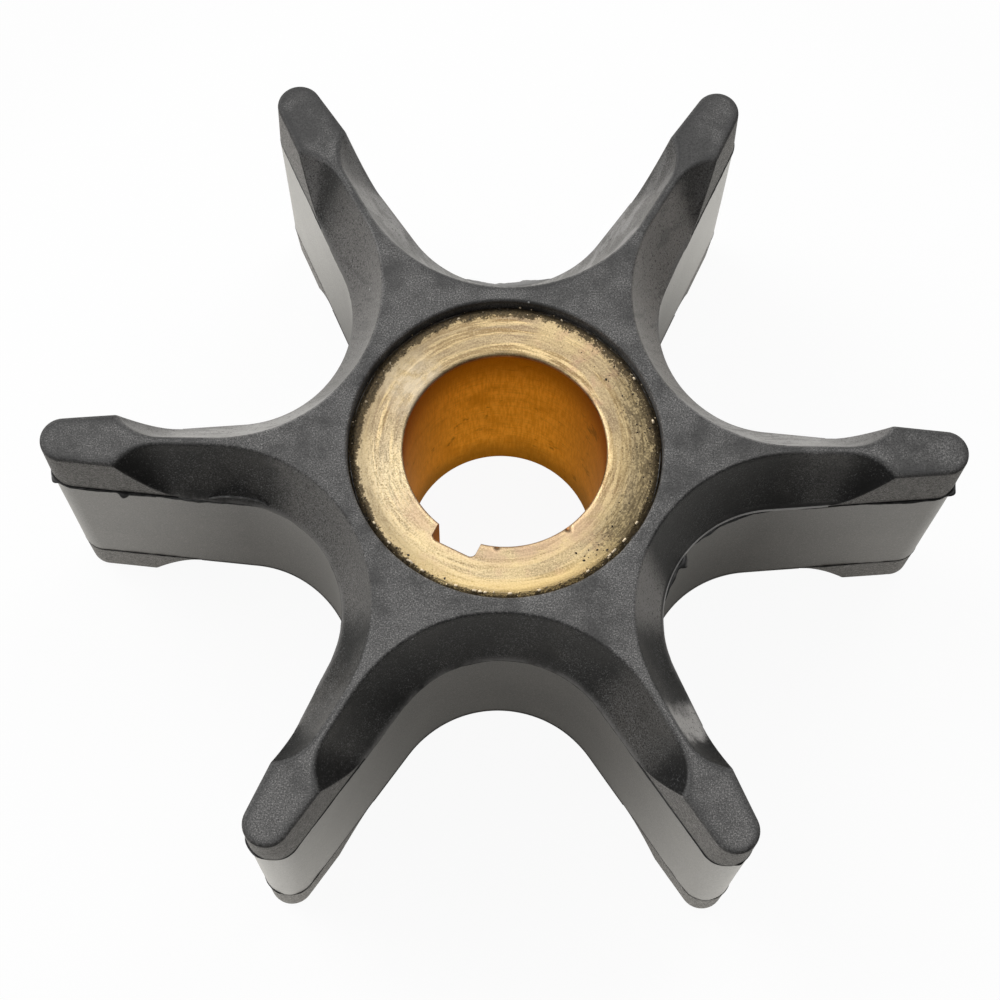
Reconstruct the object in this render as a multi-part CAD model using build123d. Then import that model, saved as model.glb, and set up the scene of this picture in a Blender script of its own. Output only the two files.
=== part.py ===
from build123d import *
from math import cos, radians, sin, tan
import os

# Six-vane pump impeller: a moulded rubber vane wheel on a keyed brass bush.
# Millimetres. The shaft axis is Z, the origin is on it at half the wheel's thickness,
# and the first vane points along +X.

# Driving sizes of the wheel
tip_radius = 39.7            # shaft axis to the end of a vane
wheel_thickness = 28.6       # over both faces
vane_count = 6
vane_end_width = 4.25        # the sides of a vane, carried on to the tip circle
vane_side_angle = 5.2        # each side leans this much from the vane's centre line
band_depth = 5.6             # from each face to its parting line
band_draft = 0.35            # a vane is this much narrower a side at the face

# Driving sizes of the scoops that hollow both faces between the vanes
scoop_land = 0.2             # wall left between a scoop and the parting line
hub_rim = 1.35               # rubber left on the face between the bush and a scoop
scoop_root_run = 2.55        # at its root a scoop's foot lies this far beyond its edge
ridge_width = 0.66           # what two scoops leave of a vane on the face
pad_length = 6.3             # the end of a vane that keeps its whole width on the face
scoop_end_radius = 4.8       # round end of a scoop, on the face
scoop_foot_radius = 2.0      # the same at its foot
scoop_end_reach = 3.9        # the round end starts this far before the pad
scoop_foot_setback = 5.1     # at the foot it starts this far before the pad
shortest_ridge = 0.3         # a round end never starts nearer than this to the root's arc

# Driving sizes of the bush
bore_radius = 8.73
bush_wall = 4.77
bush_length = 25.4
bush_setback = 0.85          # below the wheel's upper face
bush_rim_chamfer = 0.6
bore_top_chamfer = 0.25
bore_foot_chamfer = 0.6
key_width = 3.97
key_depth = 1.22             # the keyway's floor, beyond the bore's wall
key_corner_radius = 0.5
key_direction = 244.0        # degrees from the first vane

# Worked out
face_z = wheel_thickness / 2
parting_z = face_z - band_depth
foot_z = parting_z + scoop_land
half_pitch = 180.0 / vane_count
pad_start = tip_radius - pad_length
bush_radius = bore_radius + bush_wall
key_floor_radius = bore_radius + key_depth
scoop_root_radius = bush_radius + hub_rim
valley_radius = scoop_root_radius + scoop_root_run
bush_top_z = face_z - bush_setback
bush_foot_z = bush_top_z - bush_length


def lerp(start, end, share):
    return start + (end - start) * share


def at_vane(vane, along, across, z):
    """A point given along and across one vane."""
    turn = radians(2 * half_pitch * vane)
    x = along * cos(turn) - across * sin(turn)
    y = along * sin(turn) + across * cos(turn)
    return Vector(x, y, z)


class Side:
    """A straight side of a vane: its half width at the tip circle and its lean."""

    def __init__(self, half_width_at_tip, lean):
        self.half_width_at_tip = half_width_at_tip
        self.lean = radians(lean)

    def half_width(self, along):
        return self.half_width_at_tip + (tip_radius - along) * tan(self.lean)

    def valley_touch(self, root_radius):
        """Where the arc through the valley's bottom runs into this side."""
        reach = self.half_width(0) * cos(self.lean)
        centre = (root_radius - reach) / (1 - sin(radians(half_pitch) + self.lean))
        along = centre * cos(radians(half_pitch)) - (centre - root_radius) * sin(self.lean)
        return along

    def end_touch(self):
        """Where the round end of the vane runs into this side."""
        end_radius = self.half_width_at_tip * cos(self.lean) / (1 - sin(self.lean))
        return tip_radius - end_radius + end_radius * sin(self.lean)


def vane_outline(narrowing, z):
    """Closed outline of all the vanes, each narrower by this much a side."""
    side = Side(vane_end_width / 2 - narrowing, vane_side_angle)
    root = side.valley_touch(valley_radius)
    end = side.end_touch()
    edges = []
    for vane in range(vane_count):
        root_low = at_vane(vane, root, -side.half_width(root), z)
        end_low = at_vane(vane, end, -side.half_width(end), z)
        tip = at_vane(vane, tip_radius, 0, z)
        end_high = at_vane(vane, end, side.half_width(end), z)
        root_high = at_vane(vane, root, side.half_width(root), z)
        valley = at_vane(vane + 0.5, valley_radius, 0, z)
        next_root = at_vane(vane + 1, root, -side.half_width(root), z)
        edges.append(Line(root_low, end_low))
        edges.append(ThreePointArc(end_low, tip, end_high))
        edges.append(Line(end_high, root_high))
        edges.append(ThreePointArc(root_high, valley, next_root))
    return Face(Wire(edges))


def scoop_outline(share):
    """Outline of the first scoop, from the face (share 0) to its foot (share 1)."""
    z = lerp(face_z, foot_z, share)
    side = Side(
        lerp(ridge_width / 2, vane_end_width / 2, share),
        lerp(0, vane_side_angle, share),
    )
    root_radius = lerp(scoop_root_radius, valley_radius, share)
    end_radius = lerp(scoop_end_radius, scoop_foot_radius, share)
    root = side.valley_touch(root_radius)
    leave = pad_start - lerp(scoop_end_reach, scoop_foot_setback, share)
    leave = max(leave, root + shortest_ridge)

    def end_point(turned):
        """A point of the round end, turned this far from where it leaves the ridge."""
        turn = radians(turned)
        along = leave + end_radius * (sin(side.lean) + sin(turn - side.lean))
        across = side.half_width(leave) + end_radius * (cos(side.lean) - cos(turn - side.lean))
        return along, across

    middle = end_point(45)
    far = end_point(90)
    root_low = at_vane(0, root, side.half_width(root), z)
    leave_low = at_vane(0, leave, side.half_width(leave), z)
    middle_low = at_vane(0, middle[0], middle[1], z)
    far_low = at_vane(0, far[0], far[1], z)
    far_high = at_vane(1, far[0], -far[1], z)
    middle_high = at_vane(1, middle[0], -middle[1], z)
    leave_high = at_vane(1, leave, -side.half_width(leave), z)
    root_high = at_vane(1, root, -side.half_width(root), z)
    valley = at_vane(0.5, root_radius, 0, z)
    edges = [
        Line(root_low, leave_low),
        ThreePointArc(leave_low, middle_low, far_low),
        Line(far_low, far_high),
        ThreePointArc(far_high, middle_high, leave_high),
        Line(leave_high, root_high),
        ThreePointArc(root_high, valley, root_low),
    ]
    return Face(Wire(edges))


def rubber_vane_wheel():
    web = extrude(vane_outline(0, -parting_z), 2 * parting_z, dir=(0, 0, 1))
    band = loft([vane_outline(0, parting_z), vane_outline(band_draft, face_z)], ruled=True)
    body = web + band + mirror(band, Plane.XY)
    body -= Cylinder(bush_radius, 2 * wheel_thickness)
    past_face = -scoop_land / band_depth
    scoop = loft([scoop_outline(1), scoop_outline(past_face)], ruled=True)
    for pocket in range(vane_count):
        cutter = Rot(0, 0, 2 * half_pitch * pocket) * scoop
        body -= cutter
        body -= mirror(cutter, Plane.XY)
    return body


def keyed_bush():
    profile = Polyline(
        (bore_radius + bore_foot_chamfer, bush_foot_z),
        (bush_radius - bush_rim_chamfer, bush_foot_z),
        (bush_radius, bush_foot_z + bush_rim_chamfer),
        (bush_radius, bush_top_z - bush_rim_chamfer),
        (bush_radius - bush_rim_chamfer, bush_top_z),
        (bore_radius + bore_top_chamfer, bush_top_z),
        (bore_radius, bush_top_z - bore_top_chamfer),
        (bore_radius, bush_foot_z + bore_foot_chamfer),
        close=True,
    )
    ring = revolve(Plane.XZ * make_face(profile), Axis.Z)
    slot = Plane.XY * Pos(key_floor_radius / 2, 0) * Rectangle(key_floor_radius, key_width)
    outer_corners = slot.vertices().group_by(Axis.X)[-1]
    slot = fillet(outer_corners, key_corner_radius)
    cutter = extrude(slot, wheel_thickness, both=True)
    return ring - Rot(0, 0, key_direction) * cutter


os.makedirs("parts", exist_ok=True)
for name, build in (("rubber_vane_wheel", rubber_vane_wheel), ("keyed_bush", keyed_bush)):
    solid = build()
    export_step(solid, f"parts/{name}.step")
    print(name, round(solid.volume, 1), "mm3")
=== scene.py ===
# %% [markdown]
# A pump impeller: a wheel of black rubber with six straight vanes, moulded on a brass bush that
# slides over a keyed shaft. The vanes bend in the pump and push water along.
# This lesson dresses a measured model of it. The measured solids stay where they are, and each
# surface that shows is rebuilt here with the marks that moulding and turning leave.

# %% Load the measured model
from functools import lru_cache
from math import atan2, cos, pi, radians, sin, sqrt, tan

import bmesh
import bpy
from mathutils import Matrix, Vector


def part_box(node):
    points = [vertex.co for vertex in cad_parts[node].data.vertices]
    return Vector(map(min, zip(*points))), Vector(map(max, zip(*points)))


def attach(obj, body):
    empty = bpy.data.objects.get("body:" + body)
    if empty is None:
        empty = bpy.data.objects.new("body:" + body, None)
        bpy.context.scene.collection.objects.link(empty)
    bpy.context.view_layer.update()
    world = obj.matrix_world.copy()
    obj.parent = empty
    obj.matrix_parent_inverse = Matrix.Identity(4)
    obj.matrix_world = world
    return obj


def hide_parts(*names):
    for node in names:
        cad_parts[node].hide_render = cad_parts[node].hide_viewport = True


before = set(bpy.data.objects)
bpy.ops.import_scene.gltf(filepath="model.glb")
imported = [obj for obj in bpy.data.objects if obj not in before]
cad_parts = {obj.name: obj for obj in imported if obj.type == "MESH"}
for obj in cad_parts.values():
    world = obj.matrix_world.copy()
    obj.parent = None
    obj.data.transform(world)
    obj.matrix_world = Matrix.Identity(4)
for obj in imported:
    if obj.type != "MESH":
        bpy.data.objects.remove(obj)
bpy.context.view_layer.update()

# %% [markdown]
# Blender works in metres, but a pump part is drawn in millimetres. So the sizes below are in
# millimetres, and every mesh is scaled once, when its object is made. Whatever the measured
# model can tell, such as the reach of a vane or the height of the bush, is read from it.

# %% Sizes of the wheel
MM = 0.001
wheel_low, wheel_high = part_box("rubber_vane_wheel")
bush_low, bush_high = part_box("keyed_bush")

TIP_RADIUS = wheel_high[0] / MM
FACE_Z = wheel_high[2] / MM
VANES = 6
HALF_PITCH = pi / VANES
VANE_END_WIDTH = 4.25
VANE_LEAN = radians(5.2)
BAND_DEPTH = 5.6
BAND_DRAFT = 0.35
PARTING_Z = FACE_Z - BAND_DEPTH
SCOOP_LAND = 0.2
FOOT_Z = PARTING_Z + SCOOP_LAND
SEAT_RADIUS = bush_high[0] / MM
SCOOP_ROOT_RADIUS = SEAT_RADIUS + 1.35
VALLEY_RADIUS = SCOOP_ROOT_RADIUS + 2.55
RIDGE_WIDTH = 0.66
PAD_START = TIP_RADIUS - 6.3
SCOOP_END_RADIUS = 4.8
SCOOP_FOOT_RADIUS = 2.0
SCOOP_END_REACH = 3.9
SCOOP_FOOT_SETBACK = 5.1
print("tip radius", round(TIP_RADIUS, 2), "face at", round(FACE_Z, 2), "parting at", round(PARTING_Z, 2))

# %% [markdown]
# The bush is a turned ring of brass. Its height and outside can be read from the measured model,
# but the bore and the slot for the key are inside its box, so those three sizes are written here.

# %% Sizes of the bush
BUSH_TOP_Z = bush_high[2] / MM
BUSH_FOOT_Z = bush_low[2] / MM
BORE_RADIUS = 8.73
KEY_WIDTH = 3.97
KEY_FLOOR_RADIUS = BORE_RADIUS + 1.22
KEY_DIRECTION = radians(244.0)
print("bush from", round(BUSH_FOOT_Z, 2), "to", round(BUSH_TOP_Z, 2), "radius", round(SEAT_RADIUS, 2))

# %% [markdown]
# Node trees can be put together by hand, but what they work out is easier to read as a formula.
# The small class below wraps a socket, so that `1 - mask * 0.5` adds the Math nodes by itself.
# A number on the left of the sign needs the reflected forms, such as `__rsub__`.

# %% Formulas for sockets
class Value:
    """A socket that takes part in sums."""

    def __init__(self, tree, socket):
        self.tree = tree
        self.socket = socket

    def maths(self, operation, *others):
        inputs = dict(enumerate((self,) + others))
        return self.tree.node("ShaderNodeMath", {"operation": operation}, inputs)

    def reflected(self, operation, first):
        return self.tree.node("ShaderNodeMath", {"operation": operation}, {0: first, 1: self})

    def __add__(self, other):
        return self.maths("ADD", other)

    def __radd__(self, other):
        return self.reflected("ADD", other)

    def __sub__(self, other):
        return self.maths("SUBTRACT", other)

    def __rsub__(self, other):
        return self.reflected("SUBTRACT", other)

    def __mul__(self, other):
        return self.maths("MULTIPLY", other)

    def __rmul__(self, other):
        return self.reflected("MULTIPLY", other)

    def __truediv__(self, other):
        return self.maths("DIVIDE", other)

    def __rtruediv__(self, other):
        return self.reflected("DIVIDE", other)

    def __pow__(self, other):
        return self.maths("POWER", other)

    def ramp(self, start, end):
        """0 up to start, 1 from end, and smooth between; start may be the larger."""
        settings = {"interpolation_type": "SMOOTHSTEP"}
        inputs = {"Value": self, "From Min": start, "From Max": end}
        return self.tree.node("ShaderNodeMapRange", settings, inputs)


print("sockets can be summed with + - * / ** and ramp")

# %% [markdown]
# The second class holds a tree. Its method `node` adds any node from its type, its settings and
# the values or links of its sockets, and the other methods are short names for what is used most.
# The same two classes serve materials and geometry trees. Colours are mixed by a Mix node,
# because a Math node would turn them grey.

# %% Node trees
class Tree:
    """A node tree that is filled from formulas."""

    def __init__(self, nodes):
        self.nodes = nodes

    def node(self, kind, settings=None, inputs=None, output=0):
        """Adds a node; an input is a plain value, a socket or a list of sockets."""
        made = self.nodes.nodes.new(kind)
        for name, value in (settings or {}).items():
            setattr(made, name, value)
        for name, value in (inputs or {}).items():
            socket = made.inputs[name]
            links = value if isinstance(value, list) else [value]
            if not isinstance(links[0], Value):
                socket.default_value = value
                continue
            for link in links:
                self.nodes.links.new(link.socket, socket)
        return Value(self, made.outputs[output]) if made.outputs else made

    def outputs(self, first):
        """All the outputs of the node that this socket belongs to, by name."""
        return {socket.name: Value(self, socket) for socket in first.socket.node.outputs}

    def split(self, place):
        """The x, y and z of a place."""
        return list(self.outputs(self.node("ShaderNodeSeparateXYZ", None, {0: place})).values())

    def mix(self, share, first, second):
        """A colour between two colours."""
        settings = {"data_type": "RGBA", "clamp_factor": True}
        return self.node("ShaderNodeMix", settings, {0: share, 6: first, 7: second}, output=2)

    def layered(self, base, *layers):
        """A colour with others laid over it in turn; each layer is where it lies and its colour."""
        for share, colour in layers:
            base = self.mix(share, base, colour)
        return base

    def scaled(self, place, factors):
        return self.node("ShaderNodeVectorMath", {"operation": "MULTIPLY"}, {0: place, 1: factors})

    def noise(self, place, size, detail=2.0, roughness=0.5):
        """Cloudy noise whose features are about this many millimetres wide."""
        inputs = {"Vector": place, "Scale": 1 / (size * MM), "Detail": detail, "Roughness": roughness}
        return self.node("ShaderNodeTexNoise", None, inputs)


print("node trees ready")

# %% [markdown]
# The wheel's shape follows a rule. Seen from above, one twelfth of it, from the middle of a vane
# to the middle of the valley beside it, is all there is: the rest is copies and mirror images.
# At each height the wall of that twelfth is a short chain: the round end of the vane, the side
# of its end pad, the round end of the scoop, the scoop's slope along the ridge, and the arc of
# the valley. The next cells write that chain as formulas.

# %% One side of a vane
class Side:
    """A straight side of a vane: its half width at the tip circle and its lean."""

    def __init__(self, half_width_at_tip, lean):
        self.half_width_at_tip = half_width_at_tip
        self.lean = lean

    def half_width(self, along):
        return self.half_width_at_tip + (TIP_RADIUS - along) * tan(self.lean)

    def valley_centre(self, root_radius):
        """Distance from the axis of the valley arc that runs into this side."""
        reach = self.half_width(0) * cos(self.lean)
        return (root_radius - reach) / (1 - sin(HALF_PITCH + self.lean))

    def end_radius(self):
        """Radius of the round end that runs into this side."""
        return self.half_width_at_tip * cos(self.lean) / (1 - sin(self.lean))


def lerp(start, end, share):
    """A value this share of the way from start to end."""
    return start + (end - start) * share


def spread(start, end, count):
    """count values from start towards end, without the end."""
    return [lerp(start, end, step / count) for step in range(count)]


print("half a vane's width at the axis", round(Side(VANE_END_WIDTH / 2, VANE_LEAN).half_width(0), 2))

# %% [markdown]
# Each stretch of the chain has a fixed number of points, so that the points of one height stand
# over those of the next and the wall is a plain grid. The counts put the points where the shape
# turns. Where the pad's side and the scoop's round end cross has no short formula, so the place
# is found by halving the arc again and again.

# %% Where the scoop meets the pad
TIP_POINTS = 12
PAD_POINTS = 12
SCOOP_END_POINTS = 12
RIDGE_POINTS = 10
VALLEY_TO_HUB_POINTS = 16
VALLEY_AT_HUB_POINTS = 10
VALLEY_POINTS = VALLEY_TO_HUB_POINTS + VALLEY_AT_HUB_POINTS
SCOOP_HOLLOW = 0.08
CORNER_PASSES = 3
CROWDING = 1.7
HALVINGS = 40


def scoop_crossing(leave, radius, scoop, pad):
    """How far round its arc the scoop's end crosses the side of the pad."""
    low, high = 0.0, pi / 2
    for _ in range(HALVINGS):
        turn = (low + high) / 2
        along = leave + radius * (sin(scoop.lean) + sin(turn - scoop.lean))
        across = scoop.half_width(leave) + radius * (cos(scoop.lean) - cos(turn - scoop.lean))
        if across < pad.half_width(along):
            low = turn
        else:
            high = turn
    return low


def softened(points, corner):
    """Takes the sharpness off the corner where the end of the scoop cuts the pad."""
    line = [Vector(p) for p in points]
    for _ in range(CORNER_PASSES):
        near = range(corner - 1, corner + 2)
        moved = {i: (line[i - 1] + 2 * line[i] + line[i + 1]) / 4 for i in near}
        for i, point in moved.items():
            line[i] = point
    return [(p.x, p.y) for p in line]


print("points along the valley", VALLEY_POINTS)

# %% [markdown]
# One function gives the wall at any height. Its lengths slide from what they are on the face to
# what they are at the foot of the scoop, and below the foot the wall stands straight. The slope
# is a little hollow, which is what makes it a scoop and not a chamfer. The same heights are asked
# for again and again, so the answers are kept.

# %% The wall at one height
@lru_cache(maxsize=None)
def wall_at(z):
    """The wall from the middle of a vane's end to the middle of the valley, as (x, y) points."""
    depth = min(1.0, max(0.0, (FACE_Z - z) / (FACE_Z - FOOT_Z)))
    draft = BAND_DRAFT * min(1.0, max(0.0, (z - PARTING_Z) / BAND_DEPTH))
    out = depth - 4 * SCOOP_HOLLOW * depth * (1 - depth)
    pad = Side(VANE_END_WIDTH / 2 - draft, VANE_LEAN)
    scoop = Side(lerp(RIDGE_WIDTH / 2, VANE_END_WIDTH / 2, out), lerp(0, VANE_LEAN, out))
    if depth == 1.0:
        scoop = pad
    root = lerp(SCOOP_ROOT_RADIUS, VALLEY_RADIUS, out)
    leave = PAD_START - lerp(SCOOP_END_REACH, SCOOP_FOOT_SETBACK, depth)
    radius = lerp(SCOOP_END_RADIUS, SCOOP_FOOT_RADIUS, depth)
    crossing = scoop_crossing(leave, radius, scoop, pad)
    centre = scoop.valley_centre(root)
    valley_radius = centre - root
    touch = centre * cos(HALF_PITCH) - valley_radius * sin(scoop.lean)

    end = pad.end_radius()
    end_centre = TIP_RADIUS - end
    points = []
    # The round end of the vane.
    for angle in spread(0, pi / 2 - VANE_LEAN, TIP_POINTS):
        points.append((end_centre + end * cos(angle), end * sin(angle)))
    # The side of the end pad, with more points towards the scoop.
    side_start = end_centre + end * sin(VANE_LEAN)
    side_end = leave + radius * (sin(scoop.lean) + sin(crossing - scoop.lean))
    for share in spread(0, 1, PAD_POINTS):
        along = lerp(side_start, side_end, 1 - (1 - share) ** CROWDING)
        points.append((along, pad.half_width(along)))
    # The round end of the scoop.
    for share in spread(0, 1, SCOOP_END_POINTS):
        turn = lerp(crossing, 0, share ** CROWDING)
        along = leave + radius * (sin(scoop.lean) + sin(turn - scoop.lean))
        across = scoop.half_width(leave) + radius * (cos(scoop.lean) - cos(turn - scoop.lean))
        points.append((along, across))
    # The side of the vane, and then the arc of the valley.
    for along in spread(leave, touch, RIDGE_POINTS):
        points.append((along, scoop.half_width(along)))
    centre_x = centre * cos(HALF_PITCH)
    centre_y = centre * sin(HALF_PITCH)
    turns = spread(-(pi / 2 + scoop.lean), -(pi - HALF_PITCH), VALLEY_POINTS)
    for angle in turns + [-(pi - HALF_PITCH)]:
        points.append((centre_x + valley_radius * cos(angle), centre_y + valley_radius * sin(angle)))
    return softened(points, TIP_POINTS + PAD_POINTS)


print("points round one twelfth", len(wall_at(0)))
print("valley bottom at", round(Vector(wall_at(0)[-1]).length, 2))

# %% [markdown]
# A moulded edge is never sharp, so the wall is turned over into the face through a few rows that
# step up and inwards. For that each point needs the direction from the wall into the rubber.
# Blender's own bevel could round the edge too, but its new points wouldn't know whether they lie
# on a pad or on a scoop, which the finish asks later.

# %% Rounded edges
PAD_ROUND = 0.36
RIDGE_ROUND = 0.2
LIP_ROUND = 0.3
COLUMNS = TIP_POINTS + PAD_POINTS + SCOOP_END_POINTS + RIDGE_POINTS + VALLEY_POINTS + 1
BAND_COLUMNS = TIP_POINTS + PAD_POINTS


def edge_round(column):
    """Radius of the rounded upper edge at one column of the wall."""
    past_pad = (column - BAND_COLUMNS) / SCOOP_END_POINTS
    return lerp(PAD_ROUND, RIDGE_ROUND, min(1.0, max(0.0, past_pad)))


def inward(points, index):
    """Unit vector from the wall into the rubber."""
    before = Vector(points[max(index - 1, 0)])
    after = Vector(points[min(index + 1, len(points) - 1)])
    if index == 0:
        before = Vector((points[1][0], -points[1][1]))
    if index == len(points) - 1:
        bisector = Vector((cos(HALF_PITCH), sin(HALF_PITCH)))
        before = Vector(points[-2])
        after = 2 * before.dot(bisector) * bisector - before
    along = (after - before).normalized()
    return Vector((-along.y, along.x))


def inset_point(z, column, inset):
    """A point of the wall, moved into the rubber; the first column stays on the vane's middle."""
    points = wall_at(z)
    moved = Vector(points[column]) + inset * inward(points, column)
    if column == 0:
        moved.y = 0.0
    return (moved.x, moved.y, z)


def wall_row(z, pad_inset=0.0, scoop_inset=0.0):
    """A row at one height, moved into the rubber by one amount at the pad and one at the scoop."""
    row = []
    for column in range(COLUMNS):
        past_pad = min(1.0, max(0.0, (column - BAND_COLUMNS) / SCOOP_END_POINTS))
        row.append(inset_point(z, column, lerp(pad_inset, scoop_inset, past_pad)))
    return row


print("columns of the wall", COLUMNS)

# %% [markdown]
# The next class collects rows of points and joins them into a grid. Each row may carry marks, a
# number for each point, which end up as attributes of the mesh. Points that fall together, as on
# the round end of the vane, are welded at the end.

# %% Rows that join into a grid
class GridMesh:
    """Collects rows of points that form grids, with a few numbers at each point."""

    def __init__(self, *marks):
        self.points = []
        self.faces = []
        self.marks = {name: [] for name in marks}

    def row(self, points, **marks):
        start = len(self.points)
        self.points.extend(points)
        for name, values in self.marks.items():
            value = marks.get(name, 0.0)
            values.extend(value if isinstance(value, list) else [value] * len(points))
        return list(range(start, start + len(points)))

    def join(self, lower, upper):
        """Quads between two rows of equal length; lower and upper as seen from outside."""
        for a, b, c, d in zip(lower, lower[1:], upper[1:], upper):
            self.faces.append((a, b, c, d))

    def mesh(self, name, weld=1e-4):
        data = bpy.data.meshes.new(name)
        data.from_pydata([Vector(p) * MM for p in self.points], [], self.faces)
        for mark, values in self.marks.items():
            data.attributes.new(mark, "FLOAT", "POINT").data.foreach_set("value", values)
        work = bmesh.new()
        work.from_mesh(data)
        bmesh.ops.remove_doubles(work, verts=work.verts, dist=weld * MM)
        bmesh.ops.dissolve_degenerate(work, edges=work.edges, dist=weld * MM)
        work.to_mesh(data)
        work.free()
        return data


print("grid of rows ready")

# %% [markdown]
# The flat face lies between the rounded edge of the wall and the lip round the bush. Its inner
# edge has one point for each column of the wall, so that the face is part of the same grid. The
# finish changes from place to place, so the points are marked: `scoop` on the slopes, `web`
# between the parting lines, `band` on the walls beside the end pads, `edge` on the rounded edges
# and `lip` at the parting line.

# %% Rows of the twelfth
# Mid height is 0, and the rows of the web close up towards the parting line.
WEB_ROWS = [0, 1.2, 2.4, 3.6, 4.8, 5.9, 6.9, 7.7, 8.2, 8.45, 8.6, PARTING_Z - 0.02]
# The lip: its height over the parting line, and how far it steps in at the pad and out elsewhere.
LIP_ROWS = [(0.02, 1.0, 0.7), (0.07, 0.9, 1.0), (0.13, 0.5, 0.9)]
PARTING_STEP = 0.1
LIP_BULGE = 0.06
SCOOP_ROWS = 14
SCOOP_CROWDING = 1.15
LIP_FADE = [1.0, 0.3] + [0.0] * (SCOOP_ROWS - 1)
ROUND_ROWS = 5
# The face: how far in from the rounded edge, and how much of the edge's mark is left there.
FACE_ROWS = [(0.12, 0.5), (0.35, 0.0), (0.65, 0.0), (1.0, 0.0)]
SEAT_ROWS = [FACE_Z - 0.5, BUSH_TOP_Z, 7, 0]
TIP_SQUEEZE = 0.4


def wall_marks(share=1.0):
    """The marks of a row above the parting line: band beside the end pad, then scoop."""
    rest = COLUMNS - BAND_COLUMNS
    return {
        "scoop": [0.0] * BAND_COLUMNS + [share] * rest,
        "band": [share] * BAND_COLUMNS + [0.0] * rest,
    }


def seat_line():
    """The face's inner edge: in along the vane's middle, then round the lip of the seat."""
    lip = SEAT_RADIUS + LIP_ROUND
    wall = wall_at(FACE_Z)
    line = []
    end_centre = TIP_RADIUS - Side(VANE_END_WIDTH / 2 - BAND_DRAFT, VANE_LEAN).end_radius()
    first_valley = TIP_POINTS + PAD_POINTS + SCOOP_END_POINTS + RIDGE_POINTS
    for x, y in wall[:first_valley]:
        past_centre = max(0.0, x - end_centre)
        line.append((x - (1 - TIP_SQUEEZE) * past_centre, 0.0))
    for along in spread(wall[first_valley][0], lip, VALLEY_TO_HUB_POINTS):
        line.append((along, 0.0))
    for angle in spread(0, HALF_PITCH, VALLEY_AT_HUB_POINTS) + [HALF_PITCH]:
        line.append((lip * cos(angle), lip * sin(angle)))
    return line


print("rows of the wall", len(WEB_ROWS) + len(LIP_ROWS) + len(LIP_FADE) + ROUND_ROWS)

# %% [markdown]
# Now the twelfth is built as one mesh, from mid height up the wall, over the rounded edge, across
# the face and down the wall of the seat, where the bush sits.

# %% Build the twelfth
def twelfth():
    grid = GridMesh("scoop", "band", "web", "edge", "lip")
    rows = []
    for z in WEB_ROWS:
        rows.append(grid.row(wall_row(z), web=1.0))
    for rise, inset, bulge in LIP_ROWS:
        row = wall_row(PARTING_Z + rise, inset * PARTING_STEP, -bulge * LIP_BULGE)
        rows.append(grid.row(row, lip=1.0, **wall_marks()))
    # The scoop and, beside it, the band under the end pad.
    for step in range(SCOOP_ROWS + 1):
        share = step / SCOOP_ROWS
        points = []
        for column in range(COLUMNS):
            z = lerp(FOOT_Z, FACE_Z - edge_round(column), share ** SCOOP_CROWDING)
            points.append(inset_point(z, column, 0.0))
        rows.append(grid.row(points, lip=LIP_FADE[step], **wall_marks()))
    # The rounded edge; the mark of the scoop fades over it.
    for step in range(1, ROUND_ROWS + 1):
        angle = pi / 2 * step / ROUND_ROWS
        points = []
        for column in range(COLUMNS):
            radius = edge_round(column)
            z = FACE_Z - radius * (1 - sin(angle))
            points.append(inset_point(z, column, radius * (1 - cos(angle))))
        rows.append(grid.row(points, edge=1.0, **wall_marks(1 - step / ROUND_ROWS)))
    rim, inner = points, seat_line()
    for share, edge in FACE_ROWS:
        points = []
        for (x, y, z), (x_inner, y_inner) in zip(rim, inner):
            points.append((lerp(x, x_inner, share), lerp(y, y_inner, share), FACE_Z))
        rows.append(grid.row(points, edge=edge))
    for lower, upper in zip(rows, rows[1:]):
        grid.join(lower, upper)
    # The lip round the bush and the wall of the seat, from the last points of the face.
    seat_rows = [rows[-1][-(VALLEY_AT_HUB_POINTS + 1):]]
    angles = spread(0, HALF_PITCH, VALLEY_AT_HUB_POINTS) + [HALF_PITCH]
    for step in range(1, ROUND_ROWS + 1):
        turn = pi / 2 * step / ROUND_ROWS
        radius = SEAT_RADIUS + LIP_ROUND * (1 - sin(turn))
        z = FACE_Z - LIP_ROUND * (1 - cos(turn))
        seat_rows.append(grid.row([(radius * cos(a), radius * sin(a), z) for a in angles], edge=1.0))
    for z in SEAT_ROWS:
        seat_rows.append(grid.row([(SEAT_RADIUS * cos(a), SEAT_RADIUS * sin(a), z) for a in angles]))
    for lower, upper in zip(seat_rows, seat_rows[1:]):
        grid.join(lower, upper)
    return grid.mesh("twelfth")


twelfth_mesh = twelfth()
print("twelfth", len(twelfth_mesh.vertices), "points", len(twelfth_mesh.polygons), "faces")

# %% [markdown]
# Geometry Nodes do what repeats: the vanes round the axis, the fins along the parting lines, the
# crumbs on the rim. Each tree has named inputs for its sizes, and every piece is grown in the same
# way: a source mesh gets the tree as a modifier, and the result is kept as a plain mesh.

# %% Tools for geometry trees
def geometry_tree(name, sizes):
    """A geometry tree, and the sockets of its named inputs; sizes holds (name, type, value)."""
    nodes = bpy.data.node_groups.new(name, "GeometryNodeTree")
    nodes.interface.new_socket("Geometry", in_out="INPUT", socket_type="NodeSocketGeometry")
    for label, kind, value in sizes:
        socket = nodes.interface.new_socket(label, in_out="INPUT", socket_type="NodeSocket" + kind)
        socket.default_value = value
    nodes.interface.new_socket("Material", in_out="INPUT", socket_type="NodeSocketMaterial")
    nodes.interface.new_socket("Geometry", in_out="OUTPUT", socket_type="NodeSocketGeometry")
    tree = Tree(nodes)
    return tree, tree.outputs(tree.node("NodeGroupInput"))


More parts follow.
